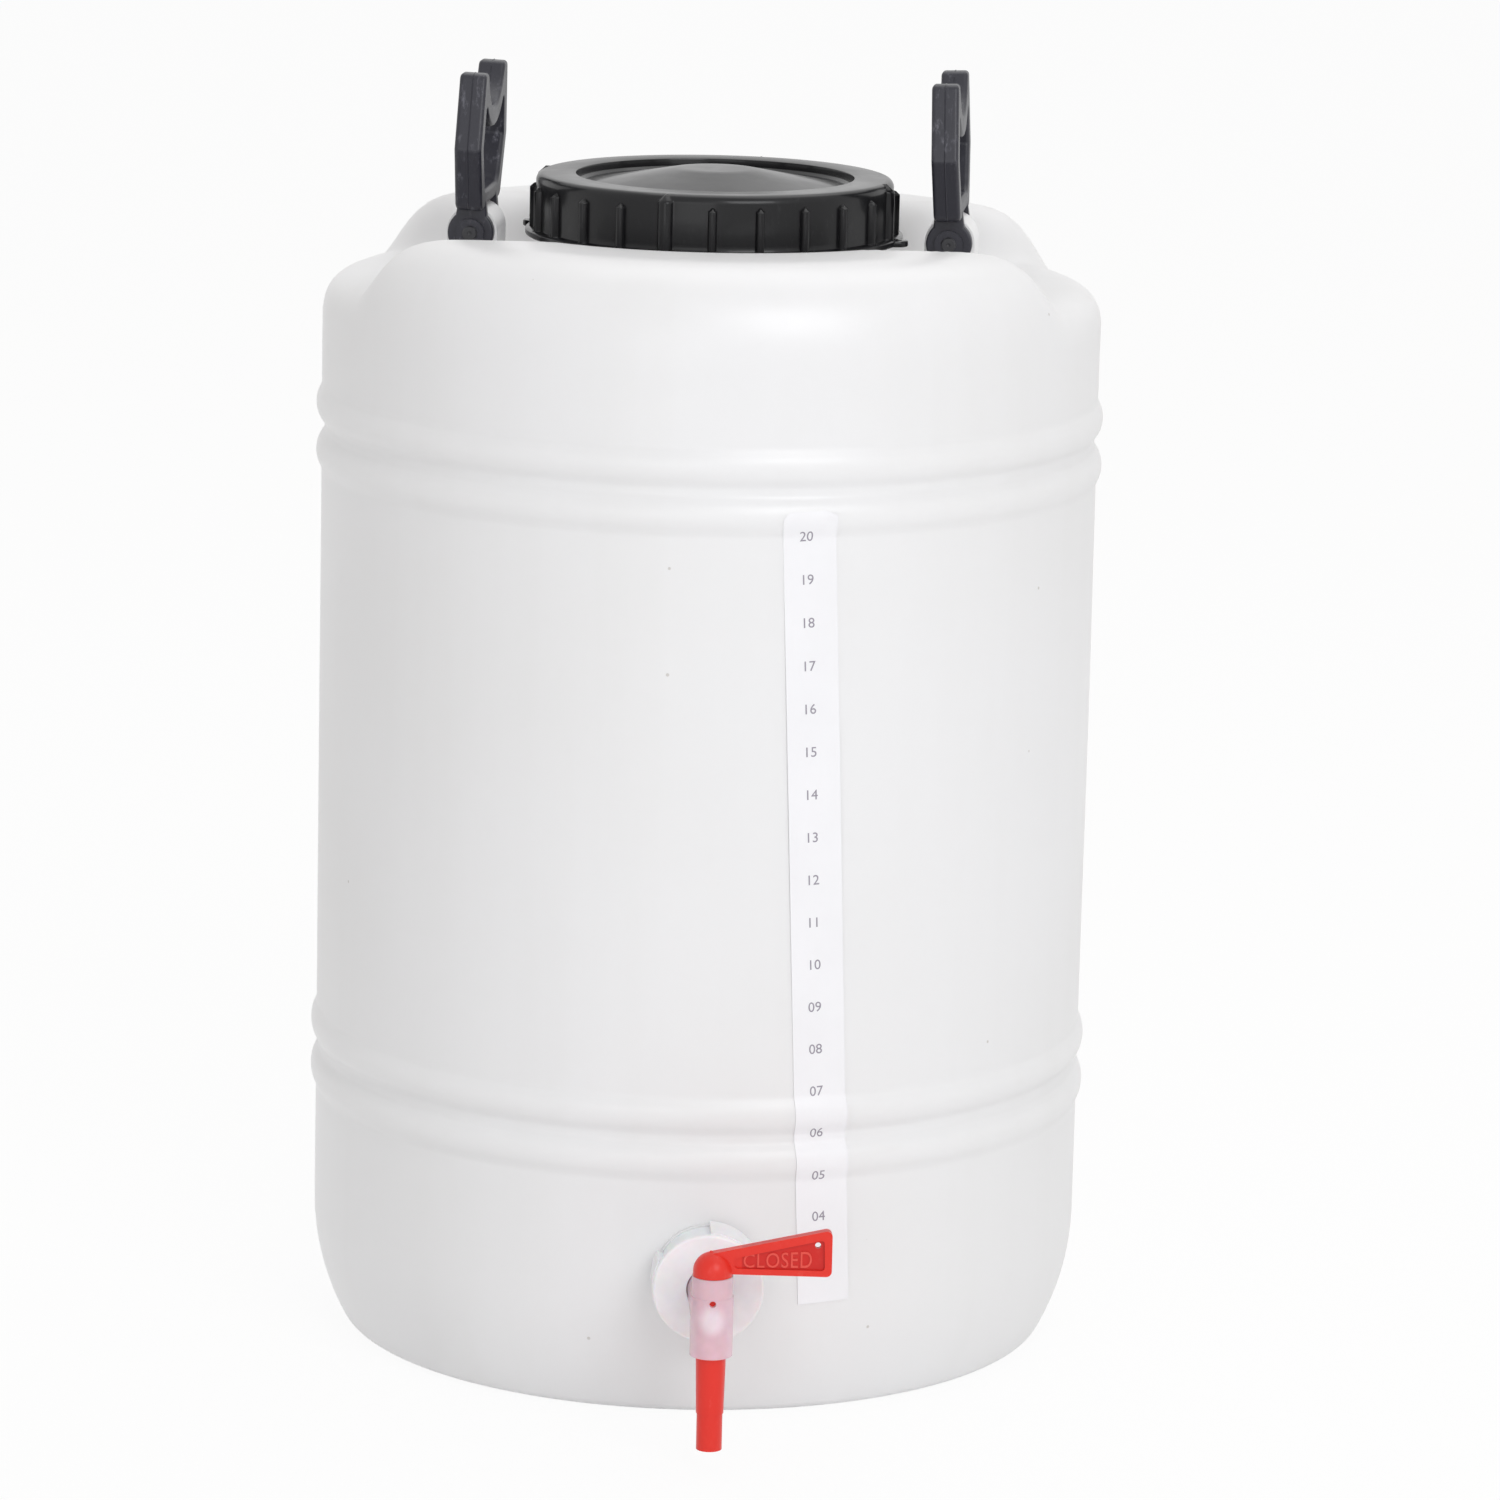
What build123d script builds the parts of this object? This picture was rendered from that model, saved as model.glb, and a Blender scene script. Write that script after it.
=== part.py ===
from build123d import *
import math
import os

# A wide-neck laboratory carboy of about 25 litres, in millimetres.
# Origin: centre of the base, on the drum's axis, on the plane it stands on. +Z is up.
# The two handles stand at -X and +X. The tap is drawn towards -Y, then turned about the drum's axis.

# ---- driving dimensions -------------------------------------------------------------------

WALL = 2.2                  # blow-moulded wall
BODY_R = 145.0              # outside of the plain wall

# base
FOOT_ARC_R = 90.0           # long arc from the wall down to the foot
FOOT_ARC_TOP = 46.0         # height where that arc leaves the wall
FOOT_CORNER_R = 6.5
FOOT_IN_R = 112.0           # inner edge of the ring it stands on
PUSH_UP = 9.0               # height of the hollow under the base
PUSH_UP_R = 98.0

# hoop ribs
RIB_PAIR_HEIGHTS = (106.2, 342.4)
RIB_PITCH = 18.0
RIB_WIDTH = 11.6
RIB_PROUD = 2.0
RIB_VALLEY = 1.0            # how far the wall between two ribs is sunk

# shoulder
PARTING_Z = 383.0           # where the shoulder starts
RIM_OVERSHOOT = 0.25        # the shoulder's skin runs this far past the wall, which trims it
CROWN_Z = 421.0             # top of the front and back lobes
CROWN_FLAT_R = 113.0        # where the lobe starts to round over
CHANNEL_Z = 400.0           # floor of the handle channels
CHANNEL_FLAT_R = 127.0
CORNER_POWER = 2.8          # the rounding is a superellipse of this power, fuller than an arc
CHANNEL_HALF = 44.0         # half the width of a channel's flat floor
FLANK_WIDTH = 31.0          # from the edge of the floor to the top of the lobe
FLARE_START = 99.0          # beyond this |X| a channel's flanks draw apart
FLARE_RUN = 30.0
FLARE = 13.3                # how far each flank has moved after that run
NECK_VALLEY_Z = 408.0       # ring-shaped hollow round the neck
NECK_VALLEY_R = 76.0
NECK_FLANK = 18.0           # from that hollow up to the crown
SHOULDER_IN_R = 46.0        # the shoulder surface runs on under the neck to here

# neck
NECK_R = 60.5
NECK_BORE_R = 56.5
NECK_TOP = 431.0

# handles and their lugs
HANDLE_X = 88.5             # pin axis, along Y
HANDLE_Z = 416.2
HANDLE_SKEW = 4.7           # the pins' turn out of Y, far end towards +X
HANDLE_LEAN = 2.0           # the loops stand leaning in by this much
PIN_R = 2.75
PIN_HALF = 19.2
PIN_CLEARANCE = 0.05
LUG_R = 9.3
LUG_HALF = 12.3
LUG_FOOT_R = 3.0
LUG_SINK = 0.3              # the flare's toe runs out this far under the channel's floor
LOOP_THICK = 10.0
LOOP_TOP = 476.2
LOOP_HORN_Y = 29.0
LOOP_KINK = (35.5, 448.7)
LOOP_FOOT = (25.0, 425.2)
LOOP_BAR_TOP = 432.2        # top of the bar under the hand opening
LOOP_BAR_UNDER = 426.4      # its underside, which passes over the lug
LOOP_WIDTH = 8.5            # width of the loop's sides
DIP_HALF = 21.0             # half chord of the hand dip
DIP_DEPTH = 14.0
GRIP_THICK = 8.0
LOOP_EDGE_R = 1.5
LOOP_CORNER_R = 2.5
LOOP_FOOT_R = 5.0
HOLE_CORNER_R = 2.0
HOLE_FOOT_R = 7.0
CHEEK_IN = 12.5
CHEEK_OUT = 17.0
CHEEK_R = 8.5
CHEEK_NECK = 5.7            # half width of the cheek's waist
PIN_COLLAR_R = 5.25
PIN_COLLAR_PROUD = 1.4

# closure
RING_TURN = -13.5           # where the ring's large ribs have come to rest
RING_TOP = 438.0
RING_FOOT = 415.2
RING_R = 66.5
RING_IN_R = 63.9
RING_HOLE_R = 51.7
RING_EDGE_R = 3.0
RING_FLANGE_R = 70.3
RING_FLANGE_THICK = 2.2
RING_RIBS = 24
RING_RIB_R = 68.3
SMALL_RIB_WIDTH = 3.3
SMALL_RIB_TOP = 433.0
LARGE_RIB_WIDTH = 6.0
LARGE_RIB_TOP = 437.2
EAR_R = 74.3
EAR_HALF = 4.2
EAR_HOLE_R = 1.5
GASKET_THICK = 2.0
GASKET_OUT_R = 61.5
LID_R = 62.0
LID_THICK = 2.4
LID_TROUGH_R = 49.0
LID_TROUGH_DEPTH = 1.0
LID_CROWN = 441.4
LID_FLAT_R = 12.0

# tap
TAP_AZIMUTH = 3.2           # turn of the whole tap about the drum's axis, towards +X
TAP_Z = 56.5
TAP_Y = -200.0              # axis of the upright sleeve
NOZZLE_R = 16.0
NOZZLE_BORE_R = 13.0
NOZZLE_END = -160.0
WELD_R = 18.5
WELD_FACE = -147.0
TAP_GASKET_THICK = 1.5
FLANGE_THICK = 2.0
CAP_R = 20.0
CAP_DISC = 2.5
CAP_SKIRT_R = 18.0
CAP_SKIRT_IN_R = 16.9
CAP_SKIRT_END = -147.5
CAP_HOLE_R = 8.0
CAP_LUGS = 3
CAP_LUG_R = 20.3
CAP_LUG_SPAN = 55.0
CAP_LUG_START = 2.0         # clockwise from the top, seen from the front
STUB_R = 7.5
STUB_BORE_R = 5.0
SLEEVE_R = 7.6
SLEEVE_BORE_R = 5.6
SLEEVE_FOOT = 42.8
SLEEVE_TOP = 71.8
SLEEVE_STEP_Z = 64.5
SLEEVE_STEP = 0.25
VENT_R = 1.2
VENT_Z = 63.2
KEY_CLEARANCE = 0.05
KEY_BORE_R = 3.4
KEY_PORT_R = 3.9
KEY_BORE_TOP = 62.0
DOME_R = 7.0
DOME_FOOT = 71.9
DOME_TOP = 80.4
LEVER_LENGTH = 42.0
LEVER_THICK = 4.0
LEVER_ROOT_TOP = 80.3
LEVER_TIP_TOP = 89.2
LEVER_ROOT_FOOT = 72.9
LEVER_TIP_FOOT = 72.1
LEVER_PANEL = ((7.6, 74.9), (39.5, 74.3), (39.2, 85.6), (7.6, 78.6))
LEVER_PANEL_DEPTH = 1.0
LEVER_HOLE_R = 1.1
LEVER_HOLE = (37.0, 83.4)
SPOUT_NECK_R = 5.35
SPOUT_STEP_R = 4.9
SPOUT_STEP_Z = 21.4
SPOUT_R = 4.6
SPOUT_END = 8.0

# litre strip
STRIP_WIDTH = 19.5
STRIP_THICK = 0.25
STRIP_TOP = 336.2
STRIP_FOOT = 44.1
STRIP_AZIMUTH = 17.9        # of its middle, from -Y towards +X
STRIP_LEAN = 2.5            # degrees it is stuck on out of plumb, foot towards +X
STRIP_CUT = 2.3             # top corner cut off
STRIP_DOG_EAR = (4.2, 1.8)  # other top corner, folded back

# materials for a plain view
MILKY = Color(0.90, 0.90, 0.92, 0.6)
BLACK = Color(0.05, 0.05, 0.06)
RED = Color(0.85, 0.15, 0.12)
WHITE = Color(0.95, 0.95, 0.97)


# ---- small helpers ------------------------------------------------------------------------

def ring(r_out, r_in, z_low, z_high):
    """A plain upright ring."""
    height = z_high - z_low
    solid = Pos(0, 0, z_low) * Cylinder(r_out, height, align=(Align.CENTER, Align.CENTER, Align.MIN))
    if r_in > 0:
        solid -= Pos(0, 0, z_low) * Cylinder(r_in, height, align=(Align.CENTER, Align.CENTER, Align.MIN))
    return solid


def tube_y(r_out, r_in, y_near, y_far, z=TAP_Z):
    """A plain ring lying along Y, from y_near out to y_far, which is the more negative."""
    place = Pos(0, y_near, z) * Rot(90, 0, 0)
    length = y_near - y_far
    solid = place * Cylinder(r_out, length, align=(Align.CENTER, Align.CENTER, Align.MIN))
    if r_in > 0:
        solid -= place * Cylinder(r_in, length, align=(Align.CENTER, Align.CENTER, Align.MIN))
    return solid


def blend_step(value, low, high):
    """Smooth step from 0 at low to 1 at high."""
    t = min(1.0, max(0.0, (value - low) / (high - low)))
    return t * t * (3.0 - 2.0 * t)


def rounded_section(spans, bends):
    """A face bounded by spans in (r, z), with the vertices given in bends rounded.

    A span is its start, its end and, for an arc, a point that it passes through.
    """
    edges = []
    for start, end, through in spans:
        if through is None:
            edges.append(Line(start, end))
        else:
            edges.append(ThreePointArc(start, through, end))
    face = make_face(Curve() + edges)
    for radius, spots in bends:
        corners = []
        for r, z in spots:
            corners.append(face.vertices().sort_by_distance((r, z, 0))[0])
        face = fillet(corners, radius)
    return face


# ---- tank ---------------------------------------------------------------------------------

def body_profile(inset):
    """Half section of the drum below the parting line, drawn inwards by inset."""
    wall = BODY_R - inset
    valley = wall - RIB_VALLEY
    floor = inset
    centre_r = BODY_R - FOOT_ARC_R
    arc_r = FOOT_ARC_R - inset
    foot_r = centre_r + math.sqrt(arc_r ** 2 - (FOOT_ARC_TOP - floor) ** 2)
    mid = math.radians(-math.degrees(math.asin((FOOT_ARC_TOP - floor) / arc_r)) / 2)
    arc_mid = (centre_r + arc_r * math.cos(mid), FOOT_ARC_TOP + arc_r * math.sin(mid))

    spans = [
        ((0, PUSH_UP + inset), (PUSH_UP_R, PUSH_UP + inset), None),
        ((PUSH_UP_R, PUSH_UP + inset), (FOOT_IN_R, floor), None),
        ((FOOT_IN_R, floor), (foot_r, floor), None),
        ((foot_r, floor), (wall, FOOT_ARC_TOP), arc_mid),
    ]
    here = (wall, FOOT_ARC_TOP)
    for pair in RIB_PAIR_HEIGHTS:
        low = pair - RIB_PITCH / 2
        high = pair + RIB_PITCH / 2
        for middle, r_below, r_above in ((low, wall, valley), (high, valley, wall)):
            start = (r_below, middle - RIB_WIDTH / 2)
            end = (r_above, middle + RIB_WIDTH / 2)
            spans.append((here, start, None))
            spans.append((start, end, (wall + RIB_PROUD, middle)))
            here = end
    spans.append((here, (wall, PARTING_Z), None))
    spans.append(((wall, PARTING_Z), (0, PARTING_Z), None))
    spans.append(((0, PARTING_Z), (0, PUSH_UP + inset), None))
    bends = [
        (FOOT_CORNER_R - inset, [(foot_r, floor)]),
        (12.0, [(PUSH_UP_R, PUSH_UP + inset)]),
        (6.0, [(FOOT_IN_R, floor)]),
    ]
    return rounded_section(spans, bends)


def revolve_about_z(face):
    """Turn a face drawn as (r, z) on the XY plane about the drum's axis."""
    return revolve(Plane.XZ * face, Axis.Z)


def rounding(share):
    """Height left, 1 to 0, after a share 0 to 1 of the way out over the shoulder's rounding."""
    return (1.0 - min(1.0, max(0.0, share)) ** CORNER_POWER) ** (1 / CORNER_POWER)


def shoulder_point(turn, along, inset):
    """A point of the shoulder. along runs 0 to 1 over the top and 1 to 2 round the outer corner.

    Two profiles, one over a handle channel and one over a lobe, are mixed by how far the point
    lies from the channel's middle line, so the channel's flanks run parallel to it until they
    draw apart near the rim.
    """
    rim = BODY_R + RIM_OVERSHOOT - inset
    if along <= 1.0:
        r = SHOULDER_IN_R + (CROWN_FLAT_R - SHOULDER_IN_R) * along
    else:
        corner = math.radians(90.0 * (along - 1.0))
        reach = (math.sin(corner) ** CORNER_POWER + math.cos(corner) ** CORNER_POWER) ** (1 / CORNER_POWER)
        r = CROWN_FLAT_R + (rim - CROWN_FLAT_R) * math.sin(corner) / reach
    rise = blend_step(r, NECK_VALLEY_R, NECK_VALLEY_R + NECK_FLANK)
    z_lobe = (CROWN_Z - inset - PARTING_Z) * rounding((r - CROWN_FLAT_R) / (rim - CROWN_FLAT_R))
    z_lobe -= (CROWN_Z - NECK_VALLEY_Z) * (1.0 - rise)
    z_channel = (CHANNEL_Z - inset - PARTING_Z) * rounding((r - CHANNEL_FLAT_R) / (rim - CHANNEL_FLAT_R))

    flare = FLARE * (max(0.0, abs(r * math.cos(turn)) - FLARE_START) / FLARE_RUN) ** 2
    aside = abs(r * math.sin(turn)) - flare
    mix = blend_step(aside, CHANNEL_HALF, CHANNEL_HALF + FLANK_WIDTH)
    z = PARTING_Z + z_channel + (z_lobe - z_channel) * mix
    return Vector(r * math.cos(turn), r * math.sin(turn), z)


def shoulder_block(inset):
    """The filled upper half of the drum, from the parting line up to the shoulder."""
    turns = [math.radians(-5.0 + 5.0 * i) for i in range(21)]
    runs = [i / 11 for i in range(12)] + [1 + i / 9 for i in range(1, 10)]
    grid = [[shoulder_point(turn, along, inset) for along in runs] for turn in turns]
    skin = Face.make_surface_from_array_of_points(grid, tol=0.3, smoothing=(1, 1, 1), max_deg=5)
    depth = CROWN_Z - PARTING_Z + 10.0
    thick = extrude(skin, depth, (0, 0, -1))
    wall = Cylinder(BODY_R - inset, depth, arc_size=90, align=(Align.NONE, Align.NONE, Align.MIN))
    quarter = thick & Pos(0, 0, PARTING_Z) * wall
    half = quarter + mirror(quarter, Plane.XZ)
    return half + mirror(half, Plane.YZ)


HANDLE_TURN = Rot(0, 0, -HANDLE_SKEW)


def handle_lug(x):
    """The upright moulded lug that a handle hangs on, with a flared foot."""
    foot = CHANNEL_Z - WALL / 2
    toe = CHANNEL_Z - LUG_SINK
    flare_top = toe + LUG_FOOT_R
    wide = LUG_R + LUG_FOOT_R
    edges = [
        Line((-LUG_R, HANDLE_Z), (-LUG_R, flare_top)),
        RadiusArc((-LUG_R, flare_top), (-wide, toe), LUG_FOOT_R),
        Line((-wide, toe), (-wide, foot)),
        Line((-wide, foot), (wide, foot)),
        Line((wide, foot), (wide, toe)),
        RadiusArc((wide, toe), (LUG_R, flare_top), LUG_FOOT_R),
        Line((LUG_R, flare_top), (LUG_R, HANDLE_Z)),
        ThreePointArc((LUG_R, HANDLE_Z), (0, HANDLE_Z + LUG_R), (-LUG_R, HANDLE_Z)),
    ]
    profile = make_face(Curve() + edges) - Pos(0, HANDLE_Z) * Circle(PIN_R)
    return Pos(x, 0, 0) * HANDLE_TURN * extrude(Plane.XZ * profile, LUG_HALF, both=True)


def filled_drum(inset):
    """The drum as a solid block, drawn inwards by inset, without its neck."""
    return revolve_about_z(body_profile(inset)) + shoulder_block(inset)


def make_tank(outside):
    """Blow-moulded drum: hollow body, neck, handle lugs and the hole for the outlet."""
    neck = ring(NECK_R, 0, PARTING_Z, NECK_TOP)
    inside = filled_drum(WALL) + ring(NECK_BORE_R, 0, PARTING_Z, NECK_TOP + 1.0)
    tank = outside + neck - inside
    for side in (-1, 1):
        tank += handle_lug(side * HANDLE_X)
    return tank - TAP_TURN * tube_y(NOZZLE_R, 0, -BODY_R + 20.0, -BODY_R - 10.0)


# ---- handles ------------------------------------------------------------------------------

def round_feet(face, foot_z, foot_r, corner_r):
    """Rounds a face's lowest corners, which are at foot_z, by foot_r, and the others by corner_r."""
    upper = [v for v in face.vertices() if v.Y > foot_z + 1.0]
    face = fillet(upper, corner_r)
    lower = [v for v in face.vertices() if v.Y < foot_z + 1.0]
    return fillet(lower, foot_r)


def handle_loop():
    """The hand loop: a thick plate with a hand dip in its top and a hand hole."""
    dip_r = (DIP_HALF ** 2 + DIP_DEPTH ** 2) / (2 * DIP_DEPTH)
    dip_z = LOOP_TOP - DIP_DEPTH + dip_r
    kink_y, kink_z = LOOP_KINK
    foot_y, foot_z = LOOP_FOOT

    outline = Polygon(
        (-foot_y, foot_z), (foot_y, foot_z), (kink_y, kink_z), (LOOP_HORN_Y, LOOP_TOP),
        (-LOOP_HORN_Y, LOOP_TOP), (-kink_y, kink_z), align=None)
    outline -= Pos(0, dip_z) * Circle(dip_r)
    outline = round_feet(outline, foot_z, LOOP_FOOT_R, LOOP_CORNER_R)

    in_kink = kink_y - LOOP_WIDTH
    slope = (kink_y - LOOP_HORN_Y) / (LOOP_TOP - kink_z)
    in_top = in_kink - slope * (LOOP_TOP - kink_z)
    in_foot = foot_y - LOOP_WIDTH + 1.5
    hole = Polygon(
        (-in_foot, LOOP_BAR_TOP), (in_foot, LOOP_BAR_TOP), (in_kink, kink_z), (in_top, LOOP_TOP),
        (-in_top, LOOP_TOP), (-in_kink, kink_z), align=None)
    hole -= Pos(0, dip_z) * Circle(dip_r + GRIP_THICK)
    hole = round_feet(hole, LOOP_BAR_TOP, HOLE_FOOT_R, HOLE_CORNER_R)

    notch = Pos(0, (foot_z + LOOP_BAR_UNDER) / 2) * Rectangle(2 * CHEEK_IN, LOOP_BAR_UNDER - foot_z)
    plate = extrude(Plane.YZ * (outline - hole - notch), LOOP_THICK / 2, both=True)
    faces = plate.faces().filter_by(Axis.X)
    rims = faces.sort_by(Axis.X)[0].edges() + faces.sort_by(Axis.X)[-1].edges()
    return fillet(rims, LOOP_EDGE_R)


def handle_cheek(side):
    """One ear of the handle's clevis, with its waist, pin hole and raised collar."""
    waist_z = HANDLE_Z + math.sqrt(CHEEK_R ** 2 - CHEEK_NECK ** 2)
    waist = Polygon(
        (-CHEEK_NECK, waist_z - 2.0), (CHEEK_NECK, waist_z - 2.0), (CHEEK_NECK, waist_z),
        (LOOP_THICK / 2 - 0.2, LOOP_BAR_TOP - 1.5), (-LOOP_THICK / 2 + 0.2, LOOP_BAR_TOP - 1.5),
        (-CHEEK_NECK, waist_z), align=None)
    outline = Pos(0, HANDLE_Z) * Circle(CHEEK_R) + waist
    cheek = Pos(0, CHEEK_OUT, 0) * extrude(Plane.XZ * outline, CHEEK_OUT - CHEEK_IN)
    outer = cheek.faces().sort_by(Axis.Y)[-1]
    cheek = fillet(outer.edges(), 0.8)
    cheek += tube_y(PIN_COLLAR_R, 0, CHEEK_OUT + PIN_COLLAR_PROUD, CHEEK_OUT - 1.0, HANDLE_Z)
    cheek -= tube_y(PIN_R + PIN_CLEARANCE, 0, CHEEK_OUT + 5.0, CHEEK_IN - 1.0, HANDLE_Z)
    return cheek if side > 0 else mirror(cheek, Plane.XZ)


def make_handle(x):
    """One handle, leaning in over the drum on its skewed pin."""
    lean = -math.copysign(HANDLE_LEAN, x)
    place = Pos(x, 0, 0) * HANDLE_TURN * Pos(0, 0, HANDLE_Z) * Rot(0, lean, 0) * Pos(0, 0, -HANDLE_Z)
    return place * (handle_loop() + handle_cheek(1) + handle_cheek(-1))


def make_pin(x):
    """Hinge pin with a centre dimple in each end."""
    pin = tube_y(PIN_R, 0, PIN_HALF, -PIN_HALF, HANDLE_Z)
    pin = chamfer(pin.edges().filter_by(GeomType.CIRCLE), 0.4)
    for side in (-1, 1):
        pin -= Pos(0, side * (PIN_HALF + 0.6), HANDLE_Z) * Sphere(1.0)
    return Pos(x, 0, 0) * HANDLE_TURN * pin


# ---- closure ------------------------------------------------------------------------------

def upright_rib(width, reach, top):
    """A half-round rib with a pointed head, standing on the ring's foot flange at +X."""
    radius = width / 2
    middle = Pos(reach - radius, 0, RING_FOOT)
    head = radius * 0.9
    height = top - RING_FOOT
    rib = middle * Cylinder(radius, height - head, align=(Align.CENTER, Align.CENTER, Align.MIN))
    cone = Cone(radius, 0.1, head, align=(Align.CENTER, Align.CENTER, Align.MIN))
    return rib + Pos(reach - radius, 0, top - head) * cone


def make_screw_ring():
    """Screw ring: skirt, top lip over the lid, pointed ribs, foot flange and two sealing ears."""
    flange_top = RING_FOOT + RING_FLANGE_THICK
    lip = NECK_TOP + GASKET_THICK + LID_THICK
    section = Polygon(
        (RING_IN_R, RING_FOOT), (RING_FLANGE_R, RING_FOOT), (RING_FLANGE_R, flange_top),
        (RING_R, flange_top), (RING_R, RING_TOP), (RING_HOLE_R, RING_TOP), (RING_HOLE_R, lip),
        (RING_IN_R, lip), align=None)
    shoulder = section.vertices().sort_by_distance((RING_R, RING_TOP, 0))[0]
    section = fillet(shoulder, RING_EDGE_R)
    root = section.vertices().sort_by_distance((RING_R, flange_top, 0))[0]
    section = fillet(root, 0.8)
    body = revolve_about_z(section)

    per_large = RING_RIBS // 4
    ribs = []
    for i in range(RING_RIBS):
        if i % per_large == 0:
            rib = upright_rib(LARGE_RIB_WIDTH, RING_RIB_R, LARGE_RIB_TOP)
        else:
            rib = upright_rib(SMALL_RIB_WIDTH, RING_RIB_R, SMALL_RIB_TOP)
        ribs.append(Rot(0, 0, 360 * i / RING_RIBS) * rib)
    body = body + ribs

    for turn in (0, 180):
        reach = EAR_R - EAR_HALF - RING_R
        tongue = Pos(RING_R + reach / 2, 0) * Rectangle(reach, 2 * EAR_HALF)
        ear = tongue + Pos(RING_R + reach, 0) * Circle(EAR_HALF)
        ear -= Pos(RING_R + reach + 0.6, 0) * Circle(EAR_HOLE_R)
        body += Rot(0, 0, turn) * Pos(0, 0, RING_FOOT) * extrude(ear, RING_FLANGE_THICK)
    body -= ring(RING_IN_R, 0, RING_FOOT - 1.0, lip)
    return Rot(0, 0, RING_TURN) * body


def make_inner_lid():
    """Dished lid: rim on the gasket, shallow trough, low cone to a flat middle, centring rim below."""
    base = NECK_TOP + GASKET_THICK
    top = base + LID_THICK
    trough = top - LID_TROUGH_DEPTH
    crown = LID_CROWN
    under = LID_THICK
    section = Polygon(
        (0, crown), (LID_FLAT_R, crown), (LID_TROUGH_R - 2.5, trough), (LID_TROUGH_R, trough),
        (LID_TROUGH_R + 1.5, top), (LID_R, top), (LID_R, base), (NECK_BORE_R - 0.7, base),
        (NECK_BORE_R - 0.7, base - 6.0), (NECK_BORE_R - 2.7, base - 6.0), (NECK_BORE_R - 2.7, base),
        (LID_TROUGH_R + 2.0, base), (LID_TROUGH_R, trough - under), (LID_TROUGH_R - 2.5, trough - under),
        (LID_FLAT_R, crown - under), (0, crown - under), align=None)
    rounds = (((LID_FLAT_R, crown, 0), 12.0), ((LID_TROUGH_R - 2.5, trough, 0), 6.0), ((LID_R, top, 0), 0.6))
    for spot, radius in rounds:
        section = fillet(section.vertices().sort_by_distance(spot)[0], radius)
    return revolve_about_z(section)


# ---- tap ----------------------------------------------------------------------------------

TAP_TURN = Rot(0, 0, TAP_AZIMUTH)


def make_nozzle(outside):
    """Outlet: a tube through the wall with a weld collar that fits the drum's curve."""
    collar = TAP_TURN * tube_y(WELD_R, 0, -BODY_R + 12.0, WELD_FACE)
    bore = TAP_TURN * tube_y(NOZZLE_BORE_R, 0, -BODY_R + 20.0, NOZZLE_END - 1.0)
    tube = TAP_TURN * tube_y(NOZZLE_R, 0, -BODY_R + 4.0, NOZZLE_END)
    return (collar - outside) + tube - bore


def make_tap_cap():
    """Union cap: thin front disc, plain skirt and wide finger lugs along it."""
    disc_back = NOZZLE_END - TAP_GASKET_THICK - FLANGE_THICK
    front = disc_back - CAP_DISC
    cap = tube_y(CAP_R, 0, disc_back, front)
    cap = fillet(cap.edges().filter_by(GeomType.CIRCLE).sort_by(Axis.Y)[0], 1.0)
    cap += tube_y(CAP_SKIRT_R, 0, CAP_SKIRT_END, disc_back)
    for i in range(CAP_LUGS):
        start = 90.0 - CAP_LUG_START - i * 360 / CAP_LUGS
        span = CAP_LUG_SPAN
        wedge = make_face(Curve() + [
            PolarLine((0, 0), CAP_LUG_R, start),
            CenterArc((0, 0), CAP_LUG_R, start, -span),
            PolarLine((0, 0), CAP_LUG_R, start - span),
        ])
        lug = Pos(0, disc_back, TAP_Z) * extrude(Plane.XZ * wedge, disc_back - CAP_SKIRT_END)
        cap += lug
    cap -= tube_y(CAP_SKIRT_IN_R, 0, CAP_SKIRT_END + 1.0, disc_back)
    cap -= tube_y(CAP_HOLE_R, 0, CAP_SKIRT_END, front - 1.0)
    return TAP_TURN * cap


def make_tap_gasket():
    return TAP_TURN * tube_y(NOZZLE_R, STUB_R, NOZZLE_END, NOZZLE_END - TAP_GASKET_THICK)


def make_tap_body():
    """Flange and stub of the tap, and its upright sleeve with a side port and a vent."""
    flange_face = NOZZLE_END - TAP_GASKET_THICK
    body = tube_y(NOZZLE_R, 0, flange_face, flange_face - FLANGE_THICK)
    body += tube_y(STUB_R, 0, flange_face, TAP_Y)
    sleeve = ring(SLEEVE_R, 0, SLEEVE_FOOT, SLEEVE_STEP_Z)
    sleeve += ring(SLEEVE_R - SLEEVE_STEP, 0, SLEEVE_STEP_Z, SLEEVE_TOP)
    body += Pos(0, TAP_Y, 0) * sleeve
    body -= Pos(0, TAP_Y, 0) * ring(SLEEVE_BORE_R, 0, SLEEVE_FOOT - 1.0, SLEEVE_TOP + 1.0)
    body -= tube_y(STUB_BORE_R, 0, flange_face + 1.0, TAP_Y + SLEEVE_BORE_R - 2.0)
    body -= tube_y(VENT_R, 0, TAP_Y, TAP_Y - SLEEVE_R - 1.0, VENT_Z)
    return TAP_TURN * body


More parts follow.
